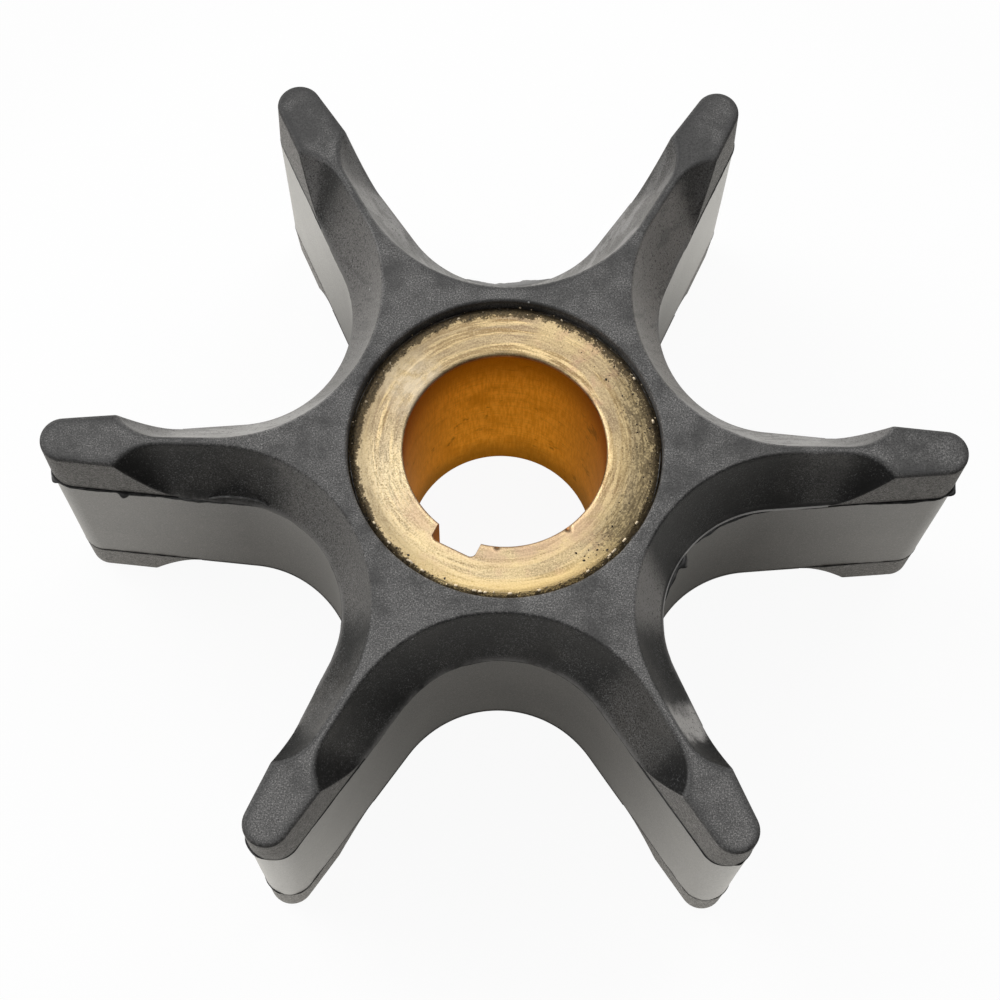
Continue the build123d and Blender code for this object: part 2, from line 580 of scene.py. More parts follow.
def finish_geometry(tree, given, geometry, smooth=True):
    """Gives the geometry its material and leads it out of the tree."""
    if smooth:
        geometry = tree.node("GeometryNodeSetShadeSmooth", None, {"Geometry": geometry})
    inputs = {"Geometry": geometry, "Material": given["Material"]}
    tree.node("NodeGroupOutput", None, {0: tree.node("GeometryNodeSetMaterial", None, inputs)})
    print(tree.nodes.name, len(tree.nodes.nodes), "nodes")
    return tree


def wander(tree, amount, settings, inputs):
    """An offset that changes slowly from place to place; no part of it is longer than amount."""
    noise = tree.node("ShaderNodeTexNoise", settings, inputs, output="Color")
    centred = tree.node("ShaderNodeVectorMath", {"operation": "SUBTRACT"}, {0: noise, 1: (0.5, 0.5, 0.5)})
    return tree.node("ShaderNodeVectorMath", {"operation": "SCALE"}, {0: centred, "Scale": amount})


def grown(name, mesh, tree, values):
    """The plain mesh object that a geometry tree makes of a mesh."""
    source = bpy.data.objects.new(name + "_source", mesh)
    bpy.context.scene.collection.objects.link(source)
    modifier = source.modifiers.new("grow", "NODES")
    modifier.node_group = tree.nodes
    for item in tree.nodes.interface.items_tree:
        if item.in_out == "INPUT" and item.name in values:
            modifier[item.identifier] = values[item.name]
    source.update_tag()
    evaluated = source.evaluated_get(bpy.context.evaluated_depsgraph_get())
    result = bpy.data.meshes.new_from_object(evaluated)
    result.name = name
    bpy.data.objects.remove(source)
    piece = bpy.data.objects.new(name, result)
    bpy.context.scene.collection.objects.link(piece)
    print(name, len(result.polygons), "faces")
    return piece


print("tools for geometry trees ready")

# %% [markdown]
# Geometry Nodes turn the twelfth into the wheel. The tree mirrors it across the vane's middle
# and across mid height, sets one copy for each vane round the axis, welds the seams and lets the
# whole drift a little with a slow noise, because rubber comes out of a mould slightly uneven.
# Mirrored copies are inside out, so each is flipped before it is joined.

# %% The tree that makes the wheel
def mirrored(tree, geometry, scale):
    """The geometry with its mirror image joined to it."""
    image = tree.node("GeometryNodeTransform", None, {"Geometry": geometry, "Scale": scale})
    image = tree.node("GeometryNodeFlipFaces", None, {"Mesh": image})
    return tree.node("GeometryNodeJoinGeometry", None, {0: [geometry, image]})


def wheel_tree():
    tree, given = geometry_tree("vane_wheel", [
        ("Vanes", "Int", VANES),
        ("Weld distance", "Float", 0.00001),
        ("Unevenness", "Float", 0.0),
        ("Uneven patch size", "Float", 0.02),
        ("Seed", "Float", 0.0),
    ])
    sector = mirrored(tree, given["Geometry"], (1, -1, 1))
    sector = mirrored(tree, sector, (1, 1, -1))
    centres = tree.node("GeometryNodePoints", None, {"Count": given["Vanes"]})
    turn = tree.node("GeometryNodeInputIndex") * (2 * pi) / given["Vanes"]
    turned = tree.node("ShaderNodeCombineXYZ", None, {"Z": turn})
    inputs = {"Points": centres, "Instance": sector, "Rotation": turned}
    copies = tree.node("GeometryNodeInstanceOnPoints", None, inputs)
    wheel = tree.node("GeometryNodeRealizeInstances", None, {"Geometry": copies})
    inputs = {"Geometry": wheel, "Distance": given["Weld distance"]}
    wheel = tree.node("GeometryNodeMergeByDistance", None, inputs)
    inputs = {"W": given["Seed"], "Scale": 1 / given["Uneven patch size"], "Detail": 1.0}
    drift = wander(tree, given["Unevenness"], {"noise_dimensions": "4D"}, inputs)
    wheel = tree.node("GeometryNodeSetPosition", None, {"Geometry": wheel, "Offset": drift})
    return finish_geometry(tree, given, wheel)


vane_wheel_tree = wheel_tree()

# %% [markdown]
# A finish is a list of layers: a base colour, and over it other colours, each with a mask that
# says where it lies. Masks come from marks on the mesh, from dots strewn by a Voronoi texture and
# from the distance to a place. Painting a picture would be quicker, but layers keep their
# sharpness at any distance and can be tuned one by one.

# %% Helpers for finishes
def new_material(name):
    """An empty material and the tree to fill."""
    material = bpy.data.materials.new(name)
    material.use_nodes = True
    material.node_tree.nodes.clear()
    return material, Tree(material.node_tree)


def finish_material(material, tree, inputs):
    """Closes the material with one shader that has these inputs."""
    shader = tree.node("ShaderNodeBsdfPrincipled", None, inputs)
    tree.node("ShaderNodeOutputMaterial", None, {"Surface": shader})
    print("finish", material.name, len(tree.nodes.nodes), "nodes")
    return material


def grey(level, warmth=0.0):
    """A grey of this brightness; warmth moves it towards brown."""
    return (level * (1 + warmth), level, level * (1 - warmth), 1.0)


def attribute(tree, name):
    """One of the marks on the mesh."""
    return tree.node("ShaderNodeAttribute", {"attribute_name": name}, output="Fac")


def position(tree):
    """The place on the piece as a vector in metres, and its x, y and z in millimetres."""
    place = tree.node("ShaderNodeTexCoord", output="Object")
    return place, [value / MM for value in tree.split(place)]


def dots(tree, place, spacing, radius, share):
    """Round dots about spacing apart; only this share of them is there."""
    inputs = {"Scale": 1 / (spacing * MM), "Vector": place}
    cells = tree.outputs(tree.node("ShaderNodeTexVoronoi", None, inputs))
    near = cells["Distance"].ramp(radius / spacing, 0.5 * radius / spacing)
    return near * cells["Color"].maths("LESS_THAN", share)


def spot(x, y, centre, reach):
    """1 at this place on the wheel and 0 past its reach."""
    across, along = x - centre[0], y - centre[1]
    return ((across * across + along * along) ** 0.5).ramp(reach, 0.3 * reach)


print("helpers for finishes ready")

# %% [markdown]
# The layers of the rubber share their noises and directions. Salt and grain are specks of a tenth and a
# quarter of a millimetre, bloom and smear are clouds, and the smear also lays a painted sheen on the
# slopes. Brushed, scratch and drawn are noises pulled out in one direction. Right and back say on which
# side of the wheel a place is. Outward and valley say whether a slope faces away from the axis or lies in
# a valley.

# %% What the layers of the rubber share
class Rubber:
    """Noises, marks and directions on the wheel."""

    def __init__(self, tree):
        place, (self.x, self.y, z) = position(tree)
        names = ("scoop", "web", "band", "edge", "lip")
        self.scoop, self.web, self.band, self.edge, self.lip = [attribute(tree, name) for name in names]
        self.salt = tree.noise(place, 0.13, 3.0, 0.8)
        self.grain = tree.noise(place, 0.26, 3.0, 0.7)
        self.bloom = tree.noise(place, 3.2, 4.0, 0.62)
        self.smear_and_sheen = tree.noise(place, 6.0, 3.0, 0.6)
        self.brushed = tree.noise(tree.scaled(place, (1.0, 1.0, 2.5)), 0.42, 4.0, 0.75)
        self.scratch = tree.noise(tree.scaled(place, (4.0, 4.0, 0.5)), 1.6, 3.0, 0.7)
        self.dust = dots(tree, place, 2.2, 0.12, 0.35)
        self.pits = dots(tree, place, 1.5, 0.13, 0.25)
        radius = (self.x * self.x + self.y * self.y) ** 0.5
        self.right = self.x / radius
        self.back = self.y / radius
        spokes = {"X": self.right * (20 * MM), "Y": self.back * (20 * MM), "Z": radius * (0.18 * MM)}
        self.drawn = tree.noise(tree.node("ShaderNodeCombineXYZ", None, spokes), 0.7, 3.0, 0.6)
        self.radius = radius + (self.bloom - 0.5) * 5.0
        facing = tree.split(tree.node("ShaderNodeTexCoord", output="Normal"))
        self.outward = (facing[0] * self.right).ramp(0.15, 0.4)
        self.inward = 1 - self.outward
        self.valley = (facing[1] * self.back).ramp(-0.15, 0.05)
        self.rear = self.back.ramp(-0.04, 0.05)
        self.front = 1 - self.rear


print("noises, marks and directions of the rubber ready")

# %% [markdown]
# The faces and end pads are matt. A pale bloom lies on them in clouds, and painted light makes it a
# little stronger towards the front and weaker towards the back. Light and dark specks are strewn over it.

# %% Colour of the faces
def face_colour(tree, on):
    # The bloom with painted light: raised towards the front and lowered towards the back.
    bloom_and_front_light = on.bloom - on.back * on.radius.ramp(10.0, 34.0) * 0.13
    return tree.layered(
        tree.mix(bloom_and_front_light.ramp(0.3, 0.7), grey(0.048, 0.02), grey(0.104, 0.02)),
        (on.salt.ramp(0.5, 0.7) * bloom_and_front_light.ramp(0.3, 0.62) * 0.9, grey(0.44, 0.03)),
        (on.salt.ramp(0.5, 0.3), grey(0.015)),
        (on.grain.ramp(0.35, 0.7) * 0.3, grey(0.13, 0.02)),
    )


print("colour of the faces ready")

# %% [markdown]
# The slopes of the scoops are black and smooth where the mould left them, and grey where something has
# rubbed along them and where light is painted on them. The grey lies on the slopes that face outwards, in
# some of the valleys, and over most of the rear half, and it is partly rubbing and partly painted light
# that differs from side to side. No simple rule gives that, so the share is added up from what each side
# shows, with distances from the axis in millimetres.

# %% Where the slopes are rubbed and painted with light
# Share of grey on a slope: partly rubbing, partly painted light from the sides and the back.
def rubbed_and_lit_share(on):
    left = on.valley * on.radius.ramp(21.0, 18.0) * 0.66
    left = left + on.radius.ramp(24.0, 26.5) * on.radius.ramp(30.5, 28.5) * 0.34
    right = on.valley * on.radius.ramp(21.5, 19.0) * on.back.ramp(-0.55, -0.68)
    right = right + on.radius.ramp(25.5, 27.5) * on.radius.ramp(30.3, 28.8)
    front = left + on.right.ramp(-0.05, 0.05) * (right - left)
    front = front * (0.07 + 0.93 * on.outward)
    reached = (on.radius - 2.5 * on.right.ramp(-0.2, 0.2)).ramp(24.0, 31.0)
    rear = 0.95 - 0.95 * on.outward * reached - 0.4 * on.inward * on.radius.ramp(26.0, 30.0)
    return front + on.rear * (rear - front)


def worn_and_lit_colour(tree, on):
    """The grey of a rubbed slope, with painted light that makes it differ on each side of the wheel."""
    front_right = on.front * on.right.ramp(0.2, 0.4)
    rear_left = on.rear * on.right.ramp(0.05, -0.3) * on.inward
    return tree.layered(
        grey(0.14, 0.05),
        (front_right, grey(0.24, 0.05)),
        (front_right * on.radius.ramp(23.0, 26.0), grey(0.5, 0.04)),
        (on.rear * on.outward * on.right.ramp(0.0, 0.3), grey(0.21, 0.08)),
        (rear_left, grey(0.21, 0.03)),
        (rear_left * on.radius.ramp(21.5, 24.5), grey(0.36, 0.03)),
        (on.rear * on.back.ramp(0.4, 0.2), grey(0.34, 0.03)),
    )


print("share and colour of the rubbed slopes ready")

# %% [markdown]
# Over the black of the slopes go the rubbed grey with its painted light, painted shade on the front
# right, streaks that run outwards from the axis, two patches that the photograph shows on the front
# slopes, a painted reflection and a painted shade, dust, painted shade at the end beside each pad, and
# the lip at the foot, which gets a dull grey painted highlight nearly everywhere and, in the right-hand
# valley, a bright painted highlight with a line of painted shade above it.

# %% Colour of the slopes
# A painted reflection on a front right slope: place and reach.
REFLECTION_PATCH = ((11.5, -23.0), 5.5)
# Painted shade on a front left slope: place and reach.
SHADE_PATCH = ((-8.5, -20.0), 5.0)


def slope_colour(tree, on):
    rubbed_and_lit = rubbed_and_lit_share(on)
    # Painted shade on the front right slopes near the axis.
    right_front_shade = on.front * on.right.ramp(0.6, 0.85) * on.radius.ramp(30.0, 20.0)
    painted_reflection = spot(on.x, on.y, *REFLECTION_PATCH) * on.smear_and_sheen.ramp(0.3, 0.5) * on.inward
    painted_shade_patch = spot(on.x, on.y, *SHADE_PATCH) * on.inward
    dusty = on.bloom.ramp(0.3, 0.62) * (1 - 0.5 * right_front_shade)
    # Painted shade at the end of the scoop beside each pad, less on the rear inward slopes.
    pad_end_shade = on.radius.ramp(28.5, 31.0) * (1 - on.rear * on.inward)
    # The lip gets a painted highlight; in the right-hand valley a bright painted highlight with a line of
    # painted shade above it.
    right_lip_shade_and_highlight = on.right.ramp(0.6, 0.8) * on.front
    return tree.layered(
        # Black, with a brown painted sheen in clouds.
        tree.mix(on.smear_and_sheen.ramp(0.42, 0.7), grey(0.004), grey(0.034, 0.08)),
        (right_front_shade * 0.6, grey(0.004)),
        (rubbed_and_lit * on.grain.ramp(0.25, 0.5) * 0.9, worn_and_lit_colour(tree, on)),
        (rubbed_and_lit * on.salt.ramp(0.5, 0.66) * 0.5, grey(0.34, 0.03)),
        (on.rear * rubbed_and_lit * on.inward * on.drawn.ramp(0.5, 0.62) * 0.35, grey(0.42, 0.02)),
        (on.rear * rubbed_and_lit * on.drawn.ramp(0.48, 0.36) * 0.45, grey(0.05, 0.04)),
        (painted_reflection * 0.7, grey(0.09, 0.06)),
        (painted_shade_patch * 0.6, grey(0.004)),
        (on.grain.ramp(0.52, 0.72) * dusty * 0.5, grey(0.11)),
        (on.salt.ramp(0.54, 0.66) * dusty * 0.7, grey(0.2)),
        (pad_end_shade * on.grain.ramp(0.75, 0.45) * 0.85, grey(0.006)),
        (on.salt.ramp(0.5, 0.38) * (1 - 0.85 * rubbed_and_lit), grey(0.002)),
        (on.lip * on.bloom.ramp(0.3, 0.55) * 0.9, grey(0.15, 0.03)),
        (on.lip.ramp(0.05, 0.3) * right_lip_shade_and_highlight, grey(0.01)),
        (on.lip.ramp(0.75, 0.95) * right_lip_shade_and_highlight * 0.9, grey(0.5, 0.02)),
    )


print("colour of the slopes ready, with patches at", REFLECTION_PATCH[0], SHADE_PATCH[0])

# %% [markdown]
# The web between the parting lines is the smoothest part: an even grey with a few upright scratches, dust
# and small pits. The bands beside the end pads are brushed, and painted light along the brush marks makes
# them much lighter; painted shade runs along the parting step at their foot.

# %% Colour of the walls
def web_colour(tree, on):
    return tree.layered(
        tree.mix(on.smear_and_sheen.ramp(0.3, 0.7), grey(0.042, 0.1), grey(0.06, 0.1)),
        (on.salt.ramp(0.46, 0.66) * 0.7, grey(0.16, 0.08)),
        (on.scratch.ramp(0.6, 0.72) * 0.2, grey(0.14, 0.08)),
        (on.salt.ramp(0.48, 0.3) * 0.5, grey(0.01)),
        (on.pits * 0.8, grey(0.012)),
    )


def band_colour(tree, on):
    return tree.layered(
        # Brush marks with painted highlights on them.
        tree.mix(on.brushed.ramp(0.36, 0.62), grey(0.075, 0.05), grey(0.22, 0.05)),
        (on.salt.ramp(0.5, 0.66) * 0.6, grey(0.4, 0.03)),
        (on.salt.ramp(0.5, 0.34) * 0.9, grey(0.02)),
        # Painted shade along the parting step.
        (on.lip * 0.7, grey(0.02)),
    )


print("colours of the web and the bands ready")

# %% [markdown]
# The marks on the mesh now choose between the four colours, and a thin line of painted shade follows the
# rounded edges of the pads and of the rear valley. The web is the glossiest, so it gets the lowest
# roughness. Grain too fine to model goes into the bump.

# %% Rubber finish
BUMP_DEPTH = 0.00008


def rubber_finish():
    material, tree = new_material("moulded_black_rubber")
    on = Rubber(tree)
    # Painted shade along the rounded edges of the pads and of the rear valley.
    edge_shade = on.radius.ramp(22.0, 30.0).maths("MAXIMUM", on.back.ramp(0.86, 0.96))
    colour = tree.layered(
        face_colour(tree, on),
        (on.scoop, slope_colour(tree, on)),
        (on.web, web_colour(tree, on)),
        (on.band, band_colour(tree, on)),
        (on.edge * (1 - on.scoop) * edge_shade * 0.6, grey(0.028)),
        (on.dust * (1 - on.web), grey(0.4)),
    )
    brushed = on.brushed * on.band
    roughness = 0.6 - 0.32 * on.web - 0.12 * on.scoop + on.grain * 0.08 + brushed * 0.1
    height = on.grain * (0.6 - 0.4 * on.web) + brushed * 0.8 + on.scratch * on.web * 0.12
    height = height + on.salt * (0.2 - 0.1 * on.web) + on.bloom * 0.25 + on.dust * 0.6
    bump = tree.node("ShaderNodeBump", None, {"Strength": 0.6, "Distance": BUMP_DEPTH, "Height": height})
    inputs = {"Base Color": colour, "Roughness": roughness, "Normal": bump, "Specular IOR Level": 0.4}
    return finish_material(material, tree, inputs)


rubber = rubber_finish()

# %% [markdown]
# The wheel stands in for the measured solid, so it must keep its size: a point that the
# unevenness has pushed out of the measured box is pressed back on to it.

# %% Grow the wheel
def keep_inside(piece, low, high):
    """Presses back any point that lies past the corners of this box."""
    for point in piece.data.vertices:
        point.co = [min(max(v, a), b) for v, a, b in zip(point.co, low, high)]


vane_wheel = grown("moulded_vane_wheel", twelfth_mesh, vane_wheel_tree, {
    "Unevenness": 0.00016,
    "Uneven patch size": 0.014,
    "Seed": 4.0,
    "Material": rubber,
})
keep_inside(vane_wheel, wheel_low, wheel_high)
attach(vane_wheel, "root")
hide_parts("rubber_vane_wheel")
print("wheel in mm", [round(v / MM, 2) for v in vane_wheel.dimensions])

# %% [markdown]
# Where the parts of the mould met, a little rubber crept into the gap and was left standing as a
# thin ragged fin, the flash. It follows both parting lines all the way round, and in a few places
# it is wide enough to hang over. How far it reaches can't follow a rule, so the wide places are a
# short list, read from the photograph.

# %% How far the flash reaches
FLASH_REACH = 0.1
LOW_FLASH_REACH = 0.05
SEAT_FLASH_REACH = 0.32
LEAST_REACH = 0.005
REACH_MARGIN = 1.3
CUT_BACK = 0.01
# Where the fin is wider: x, y, how much wider, and how far that spreads to both sides.
WIDE_FLASH = [
    (-39.4, -1.2, 0.6, 0.9),
    (-36.0, -2.4, 0.16, 4.0),
    (-33.1, -2.8, 0.5, 0.5),
    (-27.5, -2.8, 0.22, 6.0),
    (21.0, -3.9, 0.2, 2.6),
    (18.3, -5.2, 0.35, 2.4),
    (15.6, -8.4, 1.0, 0.75),
    (14.6, -10.0, 0.35, 2.6),
    (39.3, -1.3, 0.5, 0.9),
    (35.5, -2.4, 0.14, 4.0),
    (19.1, -34.4, 0.4, 0.9),
    (-20.7, -33.7, 0.12, 1.6),
    (0.2, 17.4, 0.75, 4.2),
]
LOW_FLASH = [
    (-16.3, 18.7, 0.8, 0.6),
    (-33.0, -2.7, 0.12, 5.0),
    (34.0, -2.7, 0.14, 5.0),
    (18.6, -33.0, 0.1, 4.0),
    (-18.6, -33.0, 0.1, 4.0),
]


def flash_reach(point, lead, reach, wide):
    """The reach at this point, cut back where the fin would leave the measured box."""
    for x, y, extra, width in wide:
        reach += extra * max(0.0, 1 - ((point - Vector((x, y))).length / width) ** 2)
    while reach > 0:
        end = point + REACH_MARGIN * reach * lead
        if abs(end.x) < TIP_RADIUS and abs(end.y) < wheel_high[1] / MM:
            break
        reach -= CUT_BACK
    return max(reach, LEAST_REACH)


print("wide places in the flash", len(WIDE_FLASH) + len(LOW_FLASH))

# %% [markdown]
# The path of a fin is the wheel's own outline, as a chain of points at even distances. Each point
# has a direction and a reach, which the mesh carries as attributes. A node tree can then draw the
# fins from the paths, fray them and give them a thickness.

# %% Chains of points
FLASH_STEP = 0.16


def wheel_outline(z):
    """The closed outline of the whole wheel at this height."""
    half = wall_at(z)
    side = [Vector((x, -y)) for x, y in reversed(half[1:])] + [Vector(p) for p in half]
    outline = []
    for vane in range(VANES):
        turn = Matrix.Rotation(2 * pi * vane / VANES, 2)
        outline += [turn @ point for point in side[:-1]]
    return outline


def resampled(points, step):
    """Points at even distances along a closed line."""
    result = []
    left = 0.0
    for start, end in zip(points, points[1:] + points[:1]):
        length = (end - start).length
        while left < length:
            result.append(start + (end - start) * (left / length))
            left += step
        left -= length
    return result


class Paths:
    """Closed lines with a direction and a reach at each point."""

    def __init__(self):
        self.points = []
        self.edges = []
        self.lead = []
        self.reach = []

    def loop(self, points, leads, reaches):
        start = len(self.points)
        count = len(points)
        self.points += points
        self.edges += [(start + i, start + (i + 1) % count) for i in range(count)]
        self.lead += leads
        self.reach += reaches

    def mesh(self, name):
        data = bpy.data.meshes.new(name)
        data.from_pydata([Vector(p) * MM for p in self.points], self.edges, [])
        lead = data.attributes.new("lead", "FLOAT_VECTOR", "POINT")
        lead.data.foreach_set("vector", [v for vector in self.lead for v in vector])
        reach = data.attributes.new("reach", "FLOAT", "POINT")
        reach.data.foreach_set("value", [r * MM for r in self.reach])
        return data


print("points along a parting line", len(resampled(wheel_outline(PARTING_Z), FLASH_STEP)))

# %% [markdown]
# One fin lies on each parting line and points out of the rubber. A third stands up round the
# seat, where rubber crept between the mould and the bush, and leans in over the bush a little.
# All are rooted inside the rubber, so that no gap shows at their foot.

# %% Paths of the flash
FLASH_ROOT_DEPTH = 0.05
SEAT_FIN_INSET = 0.1
SEAT_FIN_DEPTH = 0.6
SEAT_FIN_LEAN = 0.25


def parting_loop(paths, z, reach, wide):
    """The fin on one parting line, rooted a little way inside the rubber."""
    line = resampled(wheel_outline(z), FLASH_STEP)
    points, leads, reaches = [], [], []
    for index, point in enumerate(line):
        along = (line[(index + 1) % len(line)] - line[index - 1]).normalized()
        lead = Vector((along.y, -along.x))
        root = point - FLASH_ROOT_DEPTH * lead
        points.append((root.x, root.y, z))
        leads.append((lead.x, lead.y, 0.0))
        reaches.append(flash_reach(point, lead, reach, wide))
    paths.loop(points, leads, reaches)


def seat_loop(paths, radius, z, reach):
    """The fin that stands up round the bush and leans in over it."""
    count = round(2 * pi * radius / FLASH_STEP)
    turns = spread(0, 2 * pi, count)
    points = [(radius * cos(a), radius * sin(a), z) for a in turns]
    leads = [(-SEAT_FIN_LEAN * cos(a), -SEAT_FIN_LEAN * sin(a), 1.0) for a in turns]
    paths.loop(points, leads, [reach] * count)


flash_paths = Paths()
parting_loop(flash_paths, PARTING_Z, FLASH_REACH, WIDE_FLASH)
parting_loop(flash_paths, -PARTING_Z, LOW_FLASH_REACH, LOW_FLASH)
seat_loop(flash_paths, SEAT_RADIUS - SEAT_FIN_INSET, BUSH_TOP_Z - SEAT_FIN_DEPTH, SEAT_FLASH_REACH)
print("points on the paths of the flash", len(flash_paths.points))

# %% [markdown]
# The tree pulls the fin out of its path in two steps, so that it can bend down between them. Two
# noises, one three times as coarse as the fray size and one much finer, make its edge ragged. It
# is given a thickness at the end, because a real fin has two sides and an edge.

# %% The tree that draws the flash
FIN_WELD = 1e-6


def flash_tree():
    tree, given = geometry_tree("ragged_flash", [
        ("Raggedness", "Float", 1.0),
        ("Fray size", "Float", 0.001),
        ("Droop", "Float", 0.35),
        ("Thickness", "Float", 0.00005),
        ("Seed", "Float", 0.0),
    ])
    lead = tree.node("GeometryNodeInputNamedAttribute", {"data_type": "FLOAT_VECTOR"}, {"Name": "lead"})
    reach = tree.node("GeometryNodeInputNamedAttribute", {"data_type": "FLOAT"}, {"Name": "reach"})

    def fray(size, seed_shift, detail):
        inputs = {"W": given["Seed"] + seed_shift, "Scale": 1 / size, "Detail": detail}
        return tree.node("ShaderNodeTexNoise", {"noise_dimensions": "4D"}, inputs)

    def extruded(mesh, length, fall, selection=True):
        offset = tree.node("ShaderNodeVectorMath", {"operation": "SCALE"}, {0: lead, "Scale": length})
        down = tree.node("ShaderNodeCombineXYZ", None, {"Z": -1 * fall})
        offset = tree.node("ShaderNodeVectorMath", {"operation": "ADD"}, {0: offset, 1: down})
        inputs = {"Mesh": mesh, "Offset": offset, "Selection": selection}
        made = tree.outputs(tree.node("GeometryNodeExtrudeMesh", {"mode": "EDGES"}, inputs))
        return made["Mesh"], made["Top"]

    wide = fray(given["Fray size"] * 3, 0.0, 2.0).ramp(0.36, 0.66)
    fine = fray(given["Fray size"] * 0.4, 5.0, 2.0).ramp(0.3, 0.7)
    ragged = 1 + given["Raggedness"] * (0.65 * wide + 0.35 * fine - 0.7)
    length = reach * ragged
    sag = fray(given["Fray size"] * 3, 9.0, 1.0).ramp(0.35, 0.65) * given["Droop"] * reach
    inner, top = extruded(given["Geometry"], length * 0.55, sag * 0.15)
    sheet, top = extruded(inner, length * 0.45, sag, top)
    settings = {"data_type": "FLOAT", "domain": "POINT"}
    inputs = {"Geometry": sheet, "Name": "outer", "Value": top}
    sheet = tree.node("GeometryNodeStoreNamedAttribute", settings, inputs)
    inputs = {"Mesh": sheet, "Offset Scale": given["Thickness"], "Individual": False}
    skin = tree.node("GeometryNodeExtrudeMesh", {"mode": "FACES"}, inputs)
    back = tree.node("GeometryNodeFlipFaces", None, {"Mesh": sheet})
    fins = tree.node("GeometryNodeJoinGeometry", None, {0: [skin, back]})
    fins = tree.node("GeometryNodeMergeByDistance", None, {"Geometry": fins, "Distance": FIN_WELD})
    return finish_geometry(tree, given, fins)


ragged_flash_tree = flash_tree()

# %% [markdown]
# Thin rubber lets go of the mould with a little more shine than the wheel has. The ragged outer edge gets
# a painted highlight, and the flat fin in the rear valley is paler like the rear slope it lies on, partly
# rubbed and partly painted light.

# %% Flash finish
REAR_FIN_LIGHT = ((0.0, 17.8), 6.0)


def flash_finish():
    material, tree = new_material("thin_rubber_flash")
    place, (x, y, z) = position(tree)
    cloud = tree.noise(place, 0.9, 3.0, 0.6).ramp(0.4, 0.7)
    colour = tree.layered(
        tree.mix(cloud, grey(0.02), grey(0.06, 0.02)),
        # Painted highlight on the outer edge; paler rear fin, partly rubbed and partly painted light.
        (attribute(tree, "outer").ramp(0.5, 1.0) * cloud, grey(0.16, 0.02)),
        (spot(x, y, *REAR_FIN_LIGHT) * 0.9, grey(0.24, 0.02)),
    )
    inputs = {"Base Color": colour, "Roughness": 0.45, "Specular IOR Level": 0.45}
    return finish_material(material, tree, inputs)


flash = grown("parting_flash", flash_paths.mesh("flash_paths"), ragged_flash_tree, {
    "Raggedness": 0.8,
    "Fray size": 0.0014,
    "Droop": 0.4,
    "Thickness": 0.00006,
    "Seed": 2.0,
    "Material": flash_finish(),
})
keep_inside(flash, wheel_low, wheel_high)
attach(flash, "root")

# %% [markdown]
# The bush was turned on a lathe and then broached for its key, so its section is one outline
# carried round the axis except for the slot. The mesh is made of columns that run from the outer
# wall over the rim and the face and down the bore. The inner end of each column lies on the
# bore's outline, and that outline takes in the slot.

# %% Outline of the bore
KEY_CORNER = 0.5
RIM_CHAMFER = 0.6
BORE_TOP_CHAMFER = 0.25
BORE_FOOT_CHAMFER = 0.6
BORE_STEP = 0.2
KEY_SIDE_POINTS = 8
KEY_CORNER_POINTS = 6


def bore_outline():
    """The bore and its slot as (x, y) points, anticlockwise from one side of the slot."""
    half = KEY_WIDTH / 2
    mouth = sqrt(BORE_RADIUS ** 2 - half ** 2)
    floor = KEY_FLOOR_RADIUS
    slot = [(u, half) for u in spread(mouth, floor - KEY_CORNER, KEY_SIDE_POINTS)]
    for turn in spread(0, pi / 2, KEY_CORNER_POINTS):
        across = half - KEY_CORNER * (1 - cos(turn))
        slot.append((floor - KEY_CORNER * (1 - sin(turn)), across))
    slot += [(floor, v) for v in spread(half - KEY_CORNER, 0, KEY_CORNER_POINTS)]
    slot = [(u, -v) for u, v in slot] + [(floor, 0.0)] + [(u, v) for u, v in reversed(slot)]
    opening = atan2(half, mouth)
    count = round((2 * pi - 2 * opening) * BORE_RADIUS / BORE_STEP)
    turns = spread(opening, 2 * pi - opening, count)[1:]
    bore = [(BORE_RADIUS * cos(a), BORE_RADIUS * sin(a)) for a in turns]
    turn = Matrix.Rotation(KEY_DIRECTION, 2)
    return [turn @ Vector(p) for p in slot + bore]


bore_line = bore_outline()
print("columns of the bush", len(bore_line))

# %% [markdown]
# A row of the bush is either a circle or the bore's outline, or something between the two. Two
# knocks on the upper edge of the bore, which the photograph shows as small dark notches, are
# pressed in as dents.

# %% Build the bush
# Each knock: x, y, size and depth.
KNOCKS = [(5.4, -7.1, 0.34, 0.3), (-0.59, -8.85, 0.3, 0.25)]
FACE_STEPS = 14
BORE_STEPS = 12
SHARP_ANGLE = radians(35)
# The corner between the rim's chamfer and the face: how far down, out and in it is broken.
CORNER_DOWN = 0.04
CORNER_OUT = 0.03
CORNER_IN = 0.05
# The bore's upper edge: how far below the face, and how much wider than the bore.
BORE_MOUTH = [(0.07, BORE_TOP_CHAMFER - 0.14), (0.16, 0.04), (0.3, 0.0)]
BORE_ROWS_START = 0.7


def bush_row(z, radius=None, widen=0.0, share=0.0):
    """A row at this height: share 0 is the circle of this radius, share 1 the bore's outline."""
    row = []
    for line in bore_line:
        away = line.normalized()
        inner = line + widen * away
        outer = away * radius if radius else inner
        point = outer.lerp(inner, share)
        row.append([point.x, point.y, z])
    for x, y, size, depth in KNOCKS:
        for point in row:
            gap = (Vector(point) - Vector((x, y, BUSH_TOP_Z))).length
            if gap < size:
                point[2] -= depth * (1 - (gap / size) ** 2)
    return row


